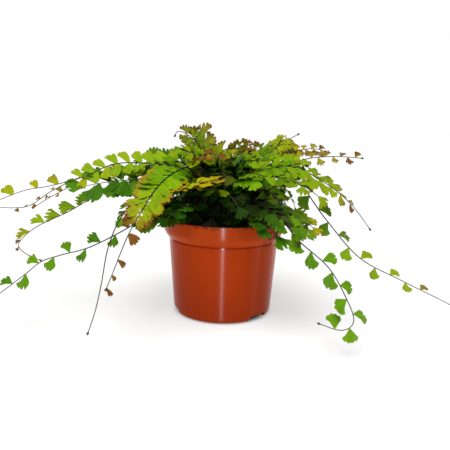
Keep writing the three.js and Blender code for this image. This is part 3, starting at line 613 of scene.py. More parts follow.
# The fronds of the near side, each named frond, its group and its number there.
fronds = {
    "left": [
        dict(way=[(-13, 3, 92), (-35, 2, 143), (-73, -8, 146), (-105, -16, 145), (-132, -24, 133), (-164, -30, 124),
            (-185, -34, 120), (-217, -40, 107)], face=(0, -0.8, 0.6), bare=62, whip=74, gap=11.6, leaf=16,
            tint=(0.26, 0.18), blush=(0, 0.32), edge=0.25, wide=0.74, shoulder=0.36, fan=0.8, taper=0.25, lean=0.45,
            droop=-0.05, strays=[(66, -1, 15), (47, -1, 11), (25, -1, 14)], notch=(0.03, 0.14), calm=0.5),
        dict(way=[(-16, 8, 92), (-47, 12, 140), (-95, 10, 139), (-136, 6, 132), (-170, 2, 116), (-192, 0, 101),
            (-208, -2, 98), (-227, -4, 99)], face=(0, -0.6, 0.8), bare=70, whip=12, gap=8, leaf=8, paired=False,
            tint=(0.3, 0.1), blush=(0.5, 1), edge=0.6, taper=0.4),
        dict(way=[(-19, 12, 92), (-50, 22, 130), (-97, 24, 131), (-139, 21, 126), (-174, 17, 109), (-196, 13, 95)],
            face=(0, -0.5, 0.85), bare=60, whip=12, gap=10, leaf=8, paired=False, tint=(0.5, 0.3), blush=(0.3, 1),
            edge=0.6, taper=0.4),
        dict(way=[(-20, -2, 92), (-39, -5, 128), (-72, -14, 131), (-99, -21, 130), (-120, -26, 127),
            (-138, -30, 123)], face=(0, -0.75, 0.65), bare=46, whip=2, gap=12, leaf=20, tint=(0.65, 0.55), taper=0,
            shoulder=0.6, notch=(0.05, 0.25)),
        dict(way=[(-24, 0, 92), (-49, 2, 119), (-83, 0, 123), (-118, -6, 116), (-152, -12, 97), (-182, -18, 82),
            (-197, -22, 67), (-191, -24, 58), (-174, -26, 51)], face=(0, -0.8, 0.6), bare=64.2, whip=37, gap=16.5,
            leaf=18, paired=False, tint=(0.6, 0.22), blush=(0, 0.6), edge=0.2, wide=0.75,
            strays=[(34, -1, 6), (27, -1, 5)], sides=(-1,), taper=0.15, lean=0.85),
        dict(way=[(-20, -10, 92), (-49, -30, 109), (-68, -42, 104), (-86, -50, 91), (-119, -58, 74), (-144, -62, 67),
            (-161, -64, 61), (-176, -68, 49), (-203, -74, 28)], face=(0, -0.7, 0.7), bare=49.4, whip=14, gap=14.4,
            leaf=15, paired=False, tint=(0.56, 0.5), edge=0.05, wide=0.8, taper=0.1, lean=0.4, notch=(0.05, 0.25)),
    ],
    "front": [
        dict(way=[(-12, -8, 92), (-31, -18, 140), (-45, -36, 141), (-58, -66, 130), (-69, -88, 111), (-78, -100, 93),
            (-88, -112, 65), (-93, -116, 52)], face=(0.1, -0.45, 0.9), bare=81.2, whip=56, gap=5.2, leaf=21.5,
            tint=(0.42, 0.16), blush=(0, 0.74), edge=0.85, wide=0.7,
            strays=[(50, 1, 13), (27, 1, 8), (14, 1, 5), (3, 1, 7)], taper=0.45, shoulder=0.38, fan=0.8,
            notch=(0.06, 0.22), ripple=0.06, droop=0, lean=0.42, calm=0.6, ragged=0.13),
        dict(way=[(-13, -12, 92), (-52, -34, 118), (-75, -56, 118), (-88, -76, 104), (-95, -94, 82), (-98, -106, 56),
            (-101, -116, 36), (-106, -124, 18)], face=(-0.3, -0.3, 0.9), bare=34, whip=103, gap=9, leaf=14,
            tint=(0.8, 0.68), blush=(0, 0.2), edge=0.1),
        dict(way=[(-4, -14, 92), (-24, -24, 123), (-32, -42, 131), (-20, -60, 135), (-6, -74, 137)],
            face=(0, -0.4, 0.9), bare=48, gap=6, leaf=14, tint=(0.15, 0.02), blush=(0, 0.5), edge=0.6, wide=1.4,
            taper=0.15, droop=-0.1, notch=(0.03, 0.12)),
        dict(way=[(2, -14, 92), (4, -26, 122), (12, -42, 135), (22, -56, 138), (27, -62, 135)],
            face=(-0.3, -0.4, 0.85), bare=34, gap=9.5, leaf=12, tint=(0.95, 0.3), edge=0.1, wide=1.15, taper=0.1,
            notch=(0.2, 0.4)),
        dict(way=[(-2, -20, 92), (-1, -34, 115), (1, -50, 125), (8, -64, 121), (14, -71, 112)],
            face=(-0.3, -0.5, 0.8), bare=30, gap=9.5, leaf=12, tint=(1.1, 0.95), wide=1.15, taper=0.1, shaded=True),
        dict(way=[(-10, -21, 92), (-20, -36, 107), (-31, -50, 113), (-43, -61, 109), (-51, -66, 100)],
            face=(-0.2, -0.6, 0.8), bare=24, gap=9.5, leaf=14, tint=(1, 0.64), wide=1.2, taper=0.35, shaded=True),
        dict(way=[(-18, -16, 92), (-36, -28, 103), (-52, -37, 108), (-66, -44, 103), (-77, -49, 93)],
            face=(-0.2, -0.6, 0.8), bare=24, gap=9.5, leaf=13, tint=(1, 0.7), wide=1.2, taper=0.3, shaded=True),
        dict(way=[(14, -16, 92), (21, -36, 116), (33, -54, 115), (50, -66, 106), (63, -74, 95)],
            face=(0.3, -0.5, 0.8), bare=46, gap=9, leaf=17, tint=(1, 0.7), blush=(0, 0.1), edge=0.05, wide=1.1,
            taper=0.15),
        dict(way=[(8, -20, 92), (14, -40, 106), (25, -56, 107), (38, -66, 99), (50, -72, 87)], face=(0.3, -0.55, 0.8),
            bare=38, gap=9, leaf=16, tint=(1.1, 0.62), edge=0.05, wide=1.1, taper=0.1, shaded=True),
    ],
    "right": [
        dict(way=[(16, -6, 92), (26, -12, 131), (48, -18, 145), (66, -24, 147), (89, -32, 136), (108, -38, 123),
            (121, -42, 110), (134, -46, 93)], face=(0.15, -0.5, 0.85), bare=56, whip=16, gap=12, leaf=24,
            tint=(0.45, 0.2), blush=(0, 1), edge=0.35, wide=0.56, taper=0.65, lean=0.85, shoulder=0.6,
            notch=(0.03, 0.16)),
        dict(way=[(12, -9, 92), (18, -20, 124), (34, -32, 137), (53, -43, 138), (73, -54, 131), (86, -61, 122)],
            face=(0.1, -0.5, 0.85), bare=44, gap=12, leaf=17, tint=(0.8, 0.38), blush=(0, 0.3), edge=0.4, taper=0.3,
            lean=0.5),
        dict(way=[(20, -2, 92), (32, -8, 123), (56, -15, 139), (74, -24, 127), (95, -34, 100), (126, -44, 67),
            (163, -52, 49), (199, -58, 33), (218, -62, 24)], face=(0.1, -0.8, 0.6), bare=44.5, whip=30, gap=15,
            leaf=16, paired=False, tint=(0.8, 0.14), blush=(0, 0.75), edge=0.15, taper=0.5, notch=(0.03, 0.14),
            sides=(1, -1)),
        dict(way=[(23, -7, 92), (35, -28, 114), (50, -52, 105), (65, -72, 88), (89, -88, 69), (103, -102, 46),
            (108, -110, 30), (98, -112, 23), (78, -110, 28)], face=(0.2, -0.8, 0.55), bare=51.5, whip=8, gap=12.6,
            leaf=14.5, paired=False, tint=(0.5, 0.4), edge=0.05, wide=0.95, taper=0.05, lean=0.4, notch=(0.03, 0.16),
            sides=(-1, 1, 1, -1, -1, 1, -1, 1)),
        dict(way=[(19, 5, 92), (23, 6, 129), (42, 10, 143), (62, 14, 157), (80, 16, 162), (94, 17, 162),
            (103, 18, 157)], face=(0, -0.85, 0.5), bare=52, whip=6, gap=8, leaf=10, tint=(0.2, 0.1), blush=(0.3, 1),
            edge=0.9, taper=0.3),
        dict(way=[(18, 1, 92), (27, 1, 126), (47, 0, 139), (65, -2, 149), (84, -5, 155), (107, -8, 157),
            (132, -10, 156)], face=(0, -0.8, 0.6), bare=60, whip=4, gap=7, leaf=9, paired=False, tint=(0.2, 0.1),
            blush=(0.5, 1), edge=0.9, wide=0.9, taper=0.1),
    ],
    "top": [
        dict(way=[(-6, 10, 92), (-14, 12, 128), (-20, 15, 151), (-22, 18, 166), (-23, 19, 179)], face=(0, -1, 0.1),
            bare=48, gap=6, leaf=18, tint=(0.45, 0.25), blush=(0, 0.6), edge=0.8, wide=1.1, taper=0.3, lean=0.45),
        dict(way=[(-10, 5, 92), (-18, 5, 138), (-24, 4, 160), (-35, 2, 172), (-46, 0, 177), (-50, -2, 171)],
            face=(0.2, -0.9, 0.3), bare=66, whip=8, gap=6.5, leaf=14, tint=(0.35, 0.3), blush=(0, 0.9), edge=0.3,
            taper=0.3, lean=0.5),
        dict(way=[(-7, 0, 92), (-17, -3, 133), (-24, -8, 149), (-34, -12, 158), (-47, -16, 159)], face=(0, -0.6, 0.8),
            bare=46, gap=8, leaf=16, tint=(0.36, 0.3), blush=(0, 0.6), edge=0.4),
        dict(way=[(1, 5, 92), (-6, 5, 134), (-8, 5, 149), (-2, 2, 160), (8, -2, 159)], face=(-0.1, -0.7, 0.7),
            bare=50, gap=7.5, leaf=15, tint=(0.4, 0.3), blush=(0.1, 0.8), edge=0.6),
        dict(way=[(4, 12, 92), (-1, 20, 133), (4, 24, 151), (14, 26, 163), (26, 25, 163), (36, 23, 157)],
            face=(0, -0.55, 0.8), bare=50, whip=2, gap=5, leaf=12.5, tint=(0.85, 0.75), blush=(0.2, 0.7), edge=0.8,
            wide=1.1, taper=0.25),
        dict(way=[(7, 3, 92), (4, 3, 131), (13, 1, 147), (25, -3, 151), (37, -8, 149)], face=(0.1, -0.6, 0.8),
            bare=46, gap=8, leaf=15, tint=(0.75, 0.35), blush=(0, 0.2), edge=0.2),
        dict(way=[(9, 15, 92), (13, 18, 129), (20, 12, 145), (31, 4, 150), (36, 0, 160)], face=(0.2, -0.9, 0.35),
            bare=56, gap=14, leaf=15, paired=False, tint=(0.2, 0.2), wide=1.3, taper=0, notch=(0.4, 0.65), fan=1.6),
        dict(way=[(12, 9, 92), (17, 15, 130), (37, 22, 145), (53, 27, 160), (63, 29, 170), (75, 31, 177)],
            face=(0.1, -0.9, 0.4), bare=80, whip=10, gap=7, leaf=12, tint=(0.3, 0.14), blush=(0, 0.3), edge=0.5),
    ],
}

# Short ones fill the heart of the plant, long ones are fanned round its far side; turns are degrees from +X.
# their dark tint and the shaded leaf are painted shade in the heart of the plant
innerFronds = dict(
    count=11, turns=(-170, -23), look=dict(gap=8.5, leaf=13.5, tint=(1, 0.8), wide=1.25, taper=0.3, shaded=True),
    tiers=[dict(root=23, reach=53, rise=16, droop=8, bare=15), dict(root=18, reach=52, rise=34, droop=14, bare=28),
           dict(root=8, reach=43, rise=52, droop=10, bare=42)])
backFronds = dict(
    count=12, turns=(22, 170), look=dict(gap=11, leaf=13, wide=1.15, taper=0.5), reachStep=13,
    tiers=[dict(root=14, reach=88, rise=66, droop=34, bare=56), dict(root=23, reach=118, rise=34, droop=62, bare=40)],
    nearest=(1, 11), low=dict(root=23, reach=58, rise=34, droop=32, bare=40))

# Young fronds between the long ones, leafy to their ends.
sprays = {
    "rightRim": [
        dict(way=[(14, -10, 92), (34, -26, 112), (52, -44, 111), (66, -56, 103), (78, -62, 93)], leaf=15,
            tint=(0.85, 0.45), edge=0.1),
        dict(way=[(18, -8, 92), (38, -18, 105), (56, -30, 103), (70, -42, 96), (79, -50, 90)], leaf=15,
            tint=(0.7, 0.15), edge=0.3),
        dict(way=[(10, -16, 92), (26, -38, 110), (42, -54, 109), (54, -66, 100), (62, -74, 90)], leaf=15,
            tint=(0.85, 0.55), edge=0.1),
        dict(way=[(18, -6, 92), (38, -16, 108), (56, -30, 108), (70, -44, 101), (84, -54, 94)], leaf=13,
            tint=(0.55, 0.05), edge=0.4, bare=52, gap=7.5),
    ],
    "leftRim": [
        dict(way=[(-14, -12, 92), (-30, -26, 102), (-42, -36, 104), (-52, -42, 102), (-60, -44, 98)], leaf=14,
            tint=(0.8, 0.55)),
        dict(way=[(-16, -6, 92), (-34, -14, 106), (-50, -22, 109), (-60, -28, 107), (-68, -32, 102)], leaf=14,
            tint=(0.85, 0.6)),
        dict(way=[(-14, -14, 92), (-30, -30, 100), (-40, -42, 103), (-47, -52, 101), (-52, -58, 97)], leaf=13,
            tint=(0.8, 0.6), face=(0, -0.7, 0.7)),
        dict(way=[(-16, -8, 92), (-32, -22, 99), (-44, -36, 101), (-54, -43, 98), (-64, -46, 93)], leaf=13,
            tint=(0.75, 0.5), face=(0, -0.3, 1), bare=40, gap=6),
    ],
    "leftShoulder": [
        dict(way=[(-8, -4, 92), (-22, -6, 128), (-42, -10, 142), (-62, -14, 146), (-82, -18, 143)], leaf=16,
            tint=(0.5, 0.3)),
        dict(way=[(-10, 6, 92), (-24, 10, 128), (-42, 14, 144), (-60, 16, 150), (-76, 16, 148)], leaf=15,
            tint=(0.5, 0.36)),
        dict(way=[(-10, 8, 92), (-26, 16, 128), (-46, 20, 146), (-68, 22, 150), (-90, 22, 148)], leaf=13,
            tint=(0.68, 0.6), face=(0, -0.9, 0.35), bare=64, gap=12, wide=1.2),
    ],
    "topMiddle": [
        dict(way=[(2, 8, 92), (4, 12, 134), (8, 16, 150), (18, 18, 157), (30, 18, 156)], leaf=15, tint=(0.5, 0.4),
            edge=0.5),
        dict(way=[(-2, 2, 92), (-4, 0, 132), (-10, -6, 148), (-18, -14, 153), (-28, -22, 150)], leaf=16,
            tint=(0.4, 0.3), edge=0.2),
        dict(way=[(-8, 10, 92), (-18, 10, 134), (-26, 8, 158), (-30, 8, 168), (-33, 8, 176)], leaf=14,
            tint=(0.4, 0.3), face=(0, -1, 0.1), blush=(0, 0.6), edge=0.6, gap=7, bare=52),
        dict(way=[(-6, -4, 92), (-16, -10, 132), (-26, -18, 150), (-18, -26, 157), (-4, -32, 157)], leaf=12,
            tint=(0.25, 0.15), blush=(0.6, 0.9), edge=0.9, gap=7),
    ],
    "rightHeart": [
        dict(way=[(14, -8, 92), (24, -16, 112), (35, -22, 119), (45, -28, 115), (52, -32, 107)], leaf=14,
            tint=(0.95, 0.55), wide=0.75, gap=7),
        dict(way=[(16, 4, 92), (28, 6, 114), (38, 8, 121), (48, 10, 116), (55, 12, 107)], leaf=13, tint=(1, 0.7)),
        dict(way=[(12, -4, 92), (20, -8, 110), (30, -14, 116), (40, -18, 114), (48, -22, 108)], leaf=14,
            tint=(1.1, 0.9)),
        dict(way=[(6, -8, 92), (14, -14, 108), (24, -20, 117), (34, -24, 117), (42, -26, 112)], leaf=15,
            tint=(1.1, 0.9), gap=7),
        dict(way=[(16, 8, 92), (28, 12, 110), (38, 16, 117), (46, 18, 113), (53, 20, 105)], leaf=13, tint=(0.95, 0.7),
            gap=7),
        dict(way=[(2, 10, 92), (8, 14, 108), (16, 18, 118), (24, 20, 121), (32, 22, 118)], leaf=15, tint=(1.1, 0.9),
            gap=6, bare=24),
        dict(way=[(10, 4, 92), (16, 8, 112), (24, 10, 122), (32, 12, 122), (40, 14, 116)], leaf=15, tint=(1.1, 0.9),
            gap=6, bare=24),
        dict(way=[(12, -10, 92), (22, -18, 118), (34, -26, 125), (46, -34, 121), (56, -40, 110)], leaf=13,
            tint=(0.5, 0.3), gap=9, bare=42, face=(0, -0.9, 0.3)),
    ],
    "rightCrest": [
        dict(way=[(10, 8, 92), (18, 14, 132), (34, 20, 152), (52, 22, 162), (66, 22, 164)], leaf=14, tint=(0.28, 0.2),
            blush=(0.35, 0.75), edge=0.6, gap=6, bare=80),
        dict(way=[(12, 10, 92), (20, 16, 134), (36, 24, 157), (54, 28, 168), (70, 30, 168)], leaf=12,
            tint=(0.28, 0.2), blush=(0.35, 0.8), edge=0.6, gap=6, bare=86),
        dict(way=[(14, 6, 92), (24, 14, 134), (42, 20, 156), (58, 22, 166), (73, 22, 159)], leaf=14, tint=(0.28, 0.2),
            blush=(0.35, 0.75), edge=0.5, gap=6, bare=82),
        dict(way=[(12, 0, 92), (24, -2, 130), (44, -6, 148), (66, -10, 150), (84, -14, 144)], leaf=16,
            tint=(0.35, 0.2), wide=0.8),
    ],
    "leftUnder": [
        dict(way=[(-16, -4, 92), (-34, -10, 108), (-50, -16, 112), (-64, -20, 109), (-74, -24, 104)], leaf=13,
            tint=(0.95, 0.75)),
        dict(way=[(-14, 4, 92), (-34, 4, 122), (-60, 2, 128), (-84, 0, 124), (-104, -2, 116)], leaf=15,
            tint=(0.8, 0.62)),
    ],
    "rightShoulder": [
        dict(way=[(12, 4, 92), (22, 6, 130), (36, 6, 146), (54, 4, 152), (70, 2, 150)], leaf=16, tint=(0.62, 0.3),
            edge=0.3),
        dict(way=[(10, -8, 92), (18, -16, 128), (32, -24, 142), (48, -30, 147), (62, -34, 144)], leaf=16,
            tint=(0.75, 0.35), edge=0.1),
    ],
    "frontMiddle": [
        dict(way=[(4, -14, 92), (10, -28, 126), (18, -42, 140), (28, -54, 143), (38, -62, 139)], leaf=14,
            tint=(0.9, 0.34), notch=(0.2, 0.4)),
        dict(way=[(0, -10, 92), (-2, -24, 128), (-4, -38, 140), (-2, -50, 142), (4, -58, 138)], leaf=14,
            tint=(0.95, 0.8)),
        dict(way=[(-8, -14, 92), (-16, -28, 116), (-16, -44, 126), (-10, -56, 129), (-2, -64, 128)], leaf=12,
            tint=(0.95, 0.4), gap=10),
    ],
}
sprayLook = dict(face=(0, -0.45, 0.9), bare=34, gap=8.5, blush=(0, 0.2), wide=1.1)

# Middling fronds that close the far side. Bare is a share of reach and rise; shorter, blush and edge are at most.
backSprays = dict(
    name="spray_back", slot="leaf_green", seed=2700, seedStep=100, pieces=3, count=30, steps=(0.618, 0.754, 0.38),
    turns=(28, 152), root=(10, 22), reach=(62, 104), rise=(58, 24), droop=(16, 44), tint=(0.45, 0.85),
    shorter=12, bare=0.3, paler=0.2, blush=0.3, edge=0.2, look=dict(gap=9, leaf=14, wide=1.1, taper=0.3))

# Short leafy fronds that close the heart of the plant; numbers run from low and wide to high and near the middle.
# their dark tint, darkest low down, and the shaded leaf are painted shade in the heart of the plant
undergrowth = dict(
    name="undergrowth", slot="leaf_dark", seed=3000, seedStep=200, pieces=6, count=54, steps=(0.618, 0.754),
    turn=137.508, root=(21, 8), reach=(62, 30), rise=(8, 56), droop=(4, 18), leaf=(12, 15.5), tint=(1.3, 0.85),
    crowding=0.9, bare=0.34, paler=0.12, look=dict(gap=8, wide=1.25, taper=0.25, shaded=True))

# An arch: shares of its reach, and the share of its rise at each but the last, which hangs by droop.
arch = dict(foot=92, shares=(0, 0.2, 0.48, 0.76, 1), heights=(0, 0.8, 1, 0.75), face=(-0.3, 0.95))


# Rounds halves up, as the plan of the plant does.
def wholeMillimetres(value):
    return math.floor(value + 0.5)


# A frond that arches out from the crown in one upright plane and droops at its end.
def arched(turn, root, reach, rise, droop, **look):
    ahead, side = math.cos(math.radians(turn)), math.sin(math.radians(turn))
    outs = [runs((root, reach), share) for share in arch["shares"]]
    heights = [share * rise for share in arch["heights"]] + [rise - droop]
    inward, upward = arch["face"]
    way = [(wholeMillimetres(out * ahead), wholeMillimetres(out * side), arch["foot"] + wholeMillimetres(height))
           for out, height in zip(outs, heights)]
    return dict(look, way=way, face=(inward * ahead, inward * side, upward))


def turnOf(index, group):
    return runs(group["turns"], index / (group["count"] - 1))


def innerFrondLooks():
    tiers, look = innerFronds["tiers"], innerFronds["look"]
    return [arched(turnOf(i, innerFronds), **tiers[i % 3], **look) for i in range(innerFronds["count"])]


# Every third ends in a whip with a bud.
def backFrondLooks():
    looks = []
    for i in range(backFronds["count"]):
        tier = backFronds["low"] if i in backFronds["nearest"] else backFronds["tiers"][i % 2]
        tier = dict(tier, reach=tier["reach"] + backFronds["reachStep"] * (i * 3 % 5))
        ending = dict(whip=2, blush=(0, 0.1)) if i % 3 else dict(whip=34, blush=(0, 0.5), edge=0.3)
        tint = (0.5 - 0.06 * (i % 4), 0.4 - 0.05 * (i % 3))
        looks.append(arched(turnOf(i, backFronds), **tier, tint=tint, **ending, **backFronds["look"]))
    return looks


# Their numbers run between the two limits, by shares that never repeat.
def backSprayLooks():
    looks = []
    for i in range(backSprays["count"]):
        place, height, shift = (i * step % 1 for step in backSprays["steps"])
        keys = ("root", "reach", "rise", "droop", "tint")
        root, reach, rise, droop, tint = (runs(backSprays[key], height) for key in keys)
        looks.append(arched(
            runs(backSprays["turns"], place), root, reach - backSprays["shorter"] * shift, rise, droop,
            bare=backSprays["bare"] * (reach + rise), tint=(tint, tint - backSprays["paler"]),
            blush=(0, backSprays["blush"] * shift), edge=backSprays["edge"] * shift, **backSprays["look"]))
    return looks


# Each turns on by the golden angle.
def undergrowthLooks():
    looks = []
    for i in range(undergrowth["count"]):
        height, shift = (i * step % 1 for step in undergrowth["steps"])
        height = height ** undergrowth["crowding"]
        root, rise, tint = (runs(undergrowth[key], height) for key in ("root", "rise", "tint"))
        droop, leaf = (runs(undergrowth[key], shift) for key in ("droop", "leaf"))
        reach = runs(undergrowth["reach"], height * (0.5 + 0.5 * shift))
        looks.append(arched(
            i * undergrowth["turn"], root, reach, rise, droop, bare=undergrowth["bare"] * (reach + rise - root),
            tint=(tint, tint - undergrowth["paler"]), leaf=leaf, **undergrowth["look"]))
    return looks


# Every frond by the name of its solid.
def namedFronds():
    groups = {**fronds, "back": backFrondLooks(), "inner": innerFrondLooks()}
    return {f"frond_{group}_{i + 1}": look for group, looks in groups.items() for i, look in enumerate(looks)}


leafShape = dict(
    lobes=4, perLobe=4, rows=(0.04, 0.5, 1.0), corner=0.16, thickness=0.25, tipAhead=0.10,
    pairGap=0.12, tipSize=1.1, tipRoom=0.45, crease=70,
    # how far a leaflet strays from its frond's own numbers
    width=0.12, length=0.10, skew=0.06, slant=0.12, cup=0.12, sag=0.12, lean=0.22, droop=0.26, twist=0.30,
    tint=0.09, blush=(0.6, 1.25),
)


# The smooth curve through the points (each piece a cubic whose ends follow the neighbours' chord), even in length.
def smoothWay(points, fine=40):
    p = np.array(points, dtype=float)
    p = np.vstack([2 * p[0] - p[1], p, 2 * p[-1] - p[-2]])
    t = np.linspace(0, 1, fine, endpoint=False)[None, :, None]
    before, start, end, after = (p[i:len(p) - 3 + i, None, :] for i in range(4))
    leave, arrive = (end - before) / 2, (after - start) / 2
    curve = ((2 * t ** 3 - 3 * t ** 2 + 1) * start + (t ** 3 - 2 * t ** 2 + t) * leave
             + (3 * t ** 2 - 2 * t ** 3) * end + (t ** 3 - t ** 2) * arrive)
    return np.vstack([curve.reshape(-1, 3), p[-2:-1]])


# A stalk: its length, and its point and three directions at any distances along it.
class Stalk:
    def __init__(self, way, face):
        self.curve = smoothWay(way)
        steps = np.linalg.norm(np.diff(self.curve, axis=0), axis=1)
        self.distance = np.concatenate([[0], np.cumsum(steps)])
        self.length = self.distance[-1]
        self.heading = unit(np.gradient(self.curve, self.distance, axis=0))
        self.face = unit(np.array(face, dtype=float))

    def spread(self, values, distances):
        return np.stack([np.interp(distances, self.distance, values[:, k]) for k in range(3)], axis=-1)

    def at(self, distances):
        point = self.spread(self.curve, distances)
        along = unit(self.spread(self.heading, distances))
        across = unit(np.cross(self.face, along))
        return point, along, across, np.cross(along, across)


# A round tube along a line of points: rings set square to the line, flat caps at both ends.
def tube(line, radii, sides):
    along = unit(np.gradient(line, axis=0))
    guide = np.array([0.31, -0.86, 0.4])  # no stalk runs this way
    across = unit(np.cross(along, guide))
    up = np.cross(along, across)
    turn = np.arange(sides) * 2 * np.pi / sides
    ring = np.cos(turn)[None, :, None] * across[:, None] + np.sin(turn)[None, :, None] * up[:, None]
    points = (line[:, None] + ring * radii[:, None, None]).reshape(-1, 3)
    quads = gridQuads(len(line), sides, closed=True).tolist()
    last = (len(line) - 1) * sides
    return points, quads + [list(range(sides))[::-1], [last + k for k in range(sides)]]


# Several (points, faces) as one.
def joined(parts):
    faces, start = [], 0
    for points, its in parts:
        faces += [[v + start for v in face] for face in its]
        start += len(points)
    return np.vstack([points for points, _ in parts]), faces


# Distance, side, length and age of every leaflet: full size after the first few, smaller towards the tip.
def leafletsOf(look, length):
    gap = look["gap"]
    count = max(1, int((length - look["whip"] - look["bare"]) // gap))
    index = np.arange(count)
    age = (index + 0.5) / count
    size = look["leaf"] * np.minimum(1, 0.7 + 2 * age) * (1 - look["taper"] * age ** 1.5)
    size = size * (1 + look["ragged"] * np.cos(2.1 * index))
    distance = look["bare"] + (index + 0.5) * gap
    if look["paired"]:
        apart = leafShape["pairGap"] * gap
        distance = np.concatenate([distance - apart, distance + apart])
        side, size, age = np.repeat([1, -1], count), np.tile(size, 2), np.tile(age, 2)
    else:
        side = np.array(look["sides"])[index % len(look["sides"])]
    for back, strayed, long in look["strays"]:
        distance, side = np.append(distance, length - back), np.append(side, strayed)
        size, age = np.append(size, long), np.append(age, 1.3)
    return distance, side, size, age


# The fan template: across u from -1/2 to 1/2, out v from 0 to 1; a top layer and, inside the edge, a bottom one.
# Between two lobes there is a dip: 1 at the notch, falling as a cube to 0 in the middle of the lobe.
def fanTemplate():
    lobes, rows = leafShape["lobes"], len(leafShape["rows"])
    columns = lobes * leafShape["perLobe"] + 1
    v, u = np.meshgrid(np.array(leafShape["rows"]), np.linspace(-0.5, 0.5, columns), indexing="ij")
    top = np.arange(rows * columns).reshape(rows, columns)
    bottom = top.copy()
    bottom[1:-1, 1:-1] = rows * columns + np.arange((rows - 2) * (columns - 2)).reshape(rows - 2, columns - 2)
    quads = gridQuads(rows, columns)
    under = bottom.ravel()[quads][:, ::-1]
    notches = np.arange(1, lobes) - lobes / 2
    dips = np.clip(1 - 2 * np.abs(u.ravel()[None] * lobes - notches[:, None]), 0, 1) ** 3
    return u.ravel(), v.ravel(), top[1:-1, 1:-1].ravel(), np.vstack([quads, under]), dips


fanAcross, fanOut, fanInside, fanFaces, fanNotches = fanTemplate()


# Leaflets as arrays, where the stalk's point and directions are. Across: width times v^shoulder times
# sin(fan u) / 2 sin(fan / 2). Out: length times v times (1 - (1 - cos(fan u)) v), less the notches, which deepen
# as v^3. Up: cupped as u^2, sagging as v^2, rippled at the edge. Each is then drooped, leant towards the tip and
# twisted about its own middle.
def leafletPoints(where, look, side, size, seed):
    random = np.random.RandomState(seed)
    count = len(side)

    def vary(spread):
        return random.uniform(-spread, spread, (count, 1))

    def drawn(key):
        return look[key] + vary(leafShape[key] * look["calm"])

    u, v, fan = fanAcross[None] * side[:, None], fanOut[None], look["fan"]
    depths = random.uniform(*look["notch"], (count, len(fanNotches)))
    cut = depths @ fanNotches + leafShape["corner"] * np.abs(2 * u) ** 6
    width = size[:, None] * look["wide"] * (1 + vary(leafShape["width"]))
    length = size[:, None] * (1 + vary(leafShape["length"]))
    sideways = np.sin(fan * u) / (2 * np.sin(fan / 2)) + vary(leafShape["skew"]) * v + leafShape["tipAhead"] * v * v
    x = width * v ** look["shoulder"] * sideways
    y = length * v * (1 - (1 - np.cos(fan * u)) * v - cut * v ** 3 + vary(leafShape["slant"]) * u)
    z = length * (drawn("cup") * (2 * u) ** 2 * v ** 2 - drawn("sag") * v ** 2
                  + look["ripple"] * np.sin(4 * np.pi * u + 6 * vary(1)) * v ** 3)
    point, along, across, up = (a[:, None, :] for a in where)
    out = across * side[:, None, None]
    droop, lean, twist = (drawn(key)[:, :, None] for key in ("droop", "lean", "twist"))
    out, up = out * np.cos(droop) - up * np.sin(droop), up * np.cos(droop) + out * np.sin(droop)
    out, ahead = out * np.cos(lean) + along * np.sin(lean), along * np.cos(lean) - out * np.sin(lean)
    ahead, up = ahead * np.cos(twist) + up * np.sin(twist), up * np.cos(twist) - ahead * np.sin(twist)
    top = point + ahead * x[..., None] + out * y[..., None] + up * z[..., None]
    under = top[:, fanInside] - up * leafShape["thickness"]
    return np.concatenate([top, under], axis=1)


# The leaflet that grows straight ahead at the tip.
def tipLeaflet(stalk, look, seed):
    size = np.array([look["leaf"] * (1 - look["taper"]) * leafShape["tipSize"]])
    point, along, across, up = stalk.at(np.array([stalk.length - stalkShape["tipSunk"]]))
    return leafletPoints((point, -across, along, up), dict(look, lean=0, droop=0), np.array([1]), size, seed)


stalkShape = dict(
    radii=(0.78, 0.36), thinning=0.8, step=3.0, sides=8, sunk=2.0, footSwell=1.15,
    leafyWhip=3,  # a whip up to this long ends in a leaflet, a longer one in a bud
    budRadius=1.15, budLength=2.2, budMiddle=1.4, tipSunk=0.8, rounding=1.2,
    lastSteps=(4.0, 3.2, 2.4, 1.6, 0.9, 0.4, 0.12),  # from the tip
)


# A stalk's tube, thinner towards the tip and rounded there, swollen by the bud; and the share along it of each ring.
def stalkTube(stalk, look):
    steps = np.linspace(0, stalk.length, int(stalk.length / stalkShape["step"]))
    tip = stalk.length - np.array(stalkShape["lastSteps"])
    steps = np.unique(np.concatenate([steps[steps < tip[0] - 0.5], tip, [stalk.length]]))
    line = stalk.at(steps)[0]
    foot = line[:1] - unit(line[1:2] - line[:1]) * stalkShape["sunk"]
    share, ends = steps / stalk.length, stalk.length - steps
    radii = runs(stalkShape["radii"], share ** stalkShape["thinning"])
    if look["whip"] > stalkShape["leafyWhip"]:
        bud = np.exp(-((ends - stalkShape["budMiddle"]) / (stalkShape["budLength"] / 2)) ** 2)
        radii = radii + (stalkShape["budRadius"] - stalkShape["radii"][1]) * bud
    radii = radii * np.sqrt(np.clip(ends / stalkShape["rounding"], 0.02, 1))
    radii = np.concatenate([radii[:1] * stalkShape["footSwell"], radii])
    return tube(np.vstack([foot, line]), radii, stalkShape["sides"]), np.concatenate([[0], share])


seeds = dict(fronds=40, sprays=2000, nextSpray=100, nextFrond=37, tip=500, marks=900)


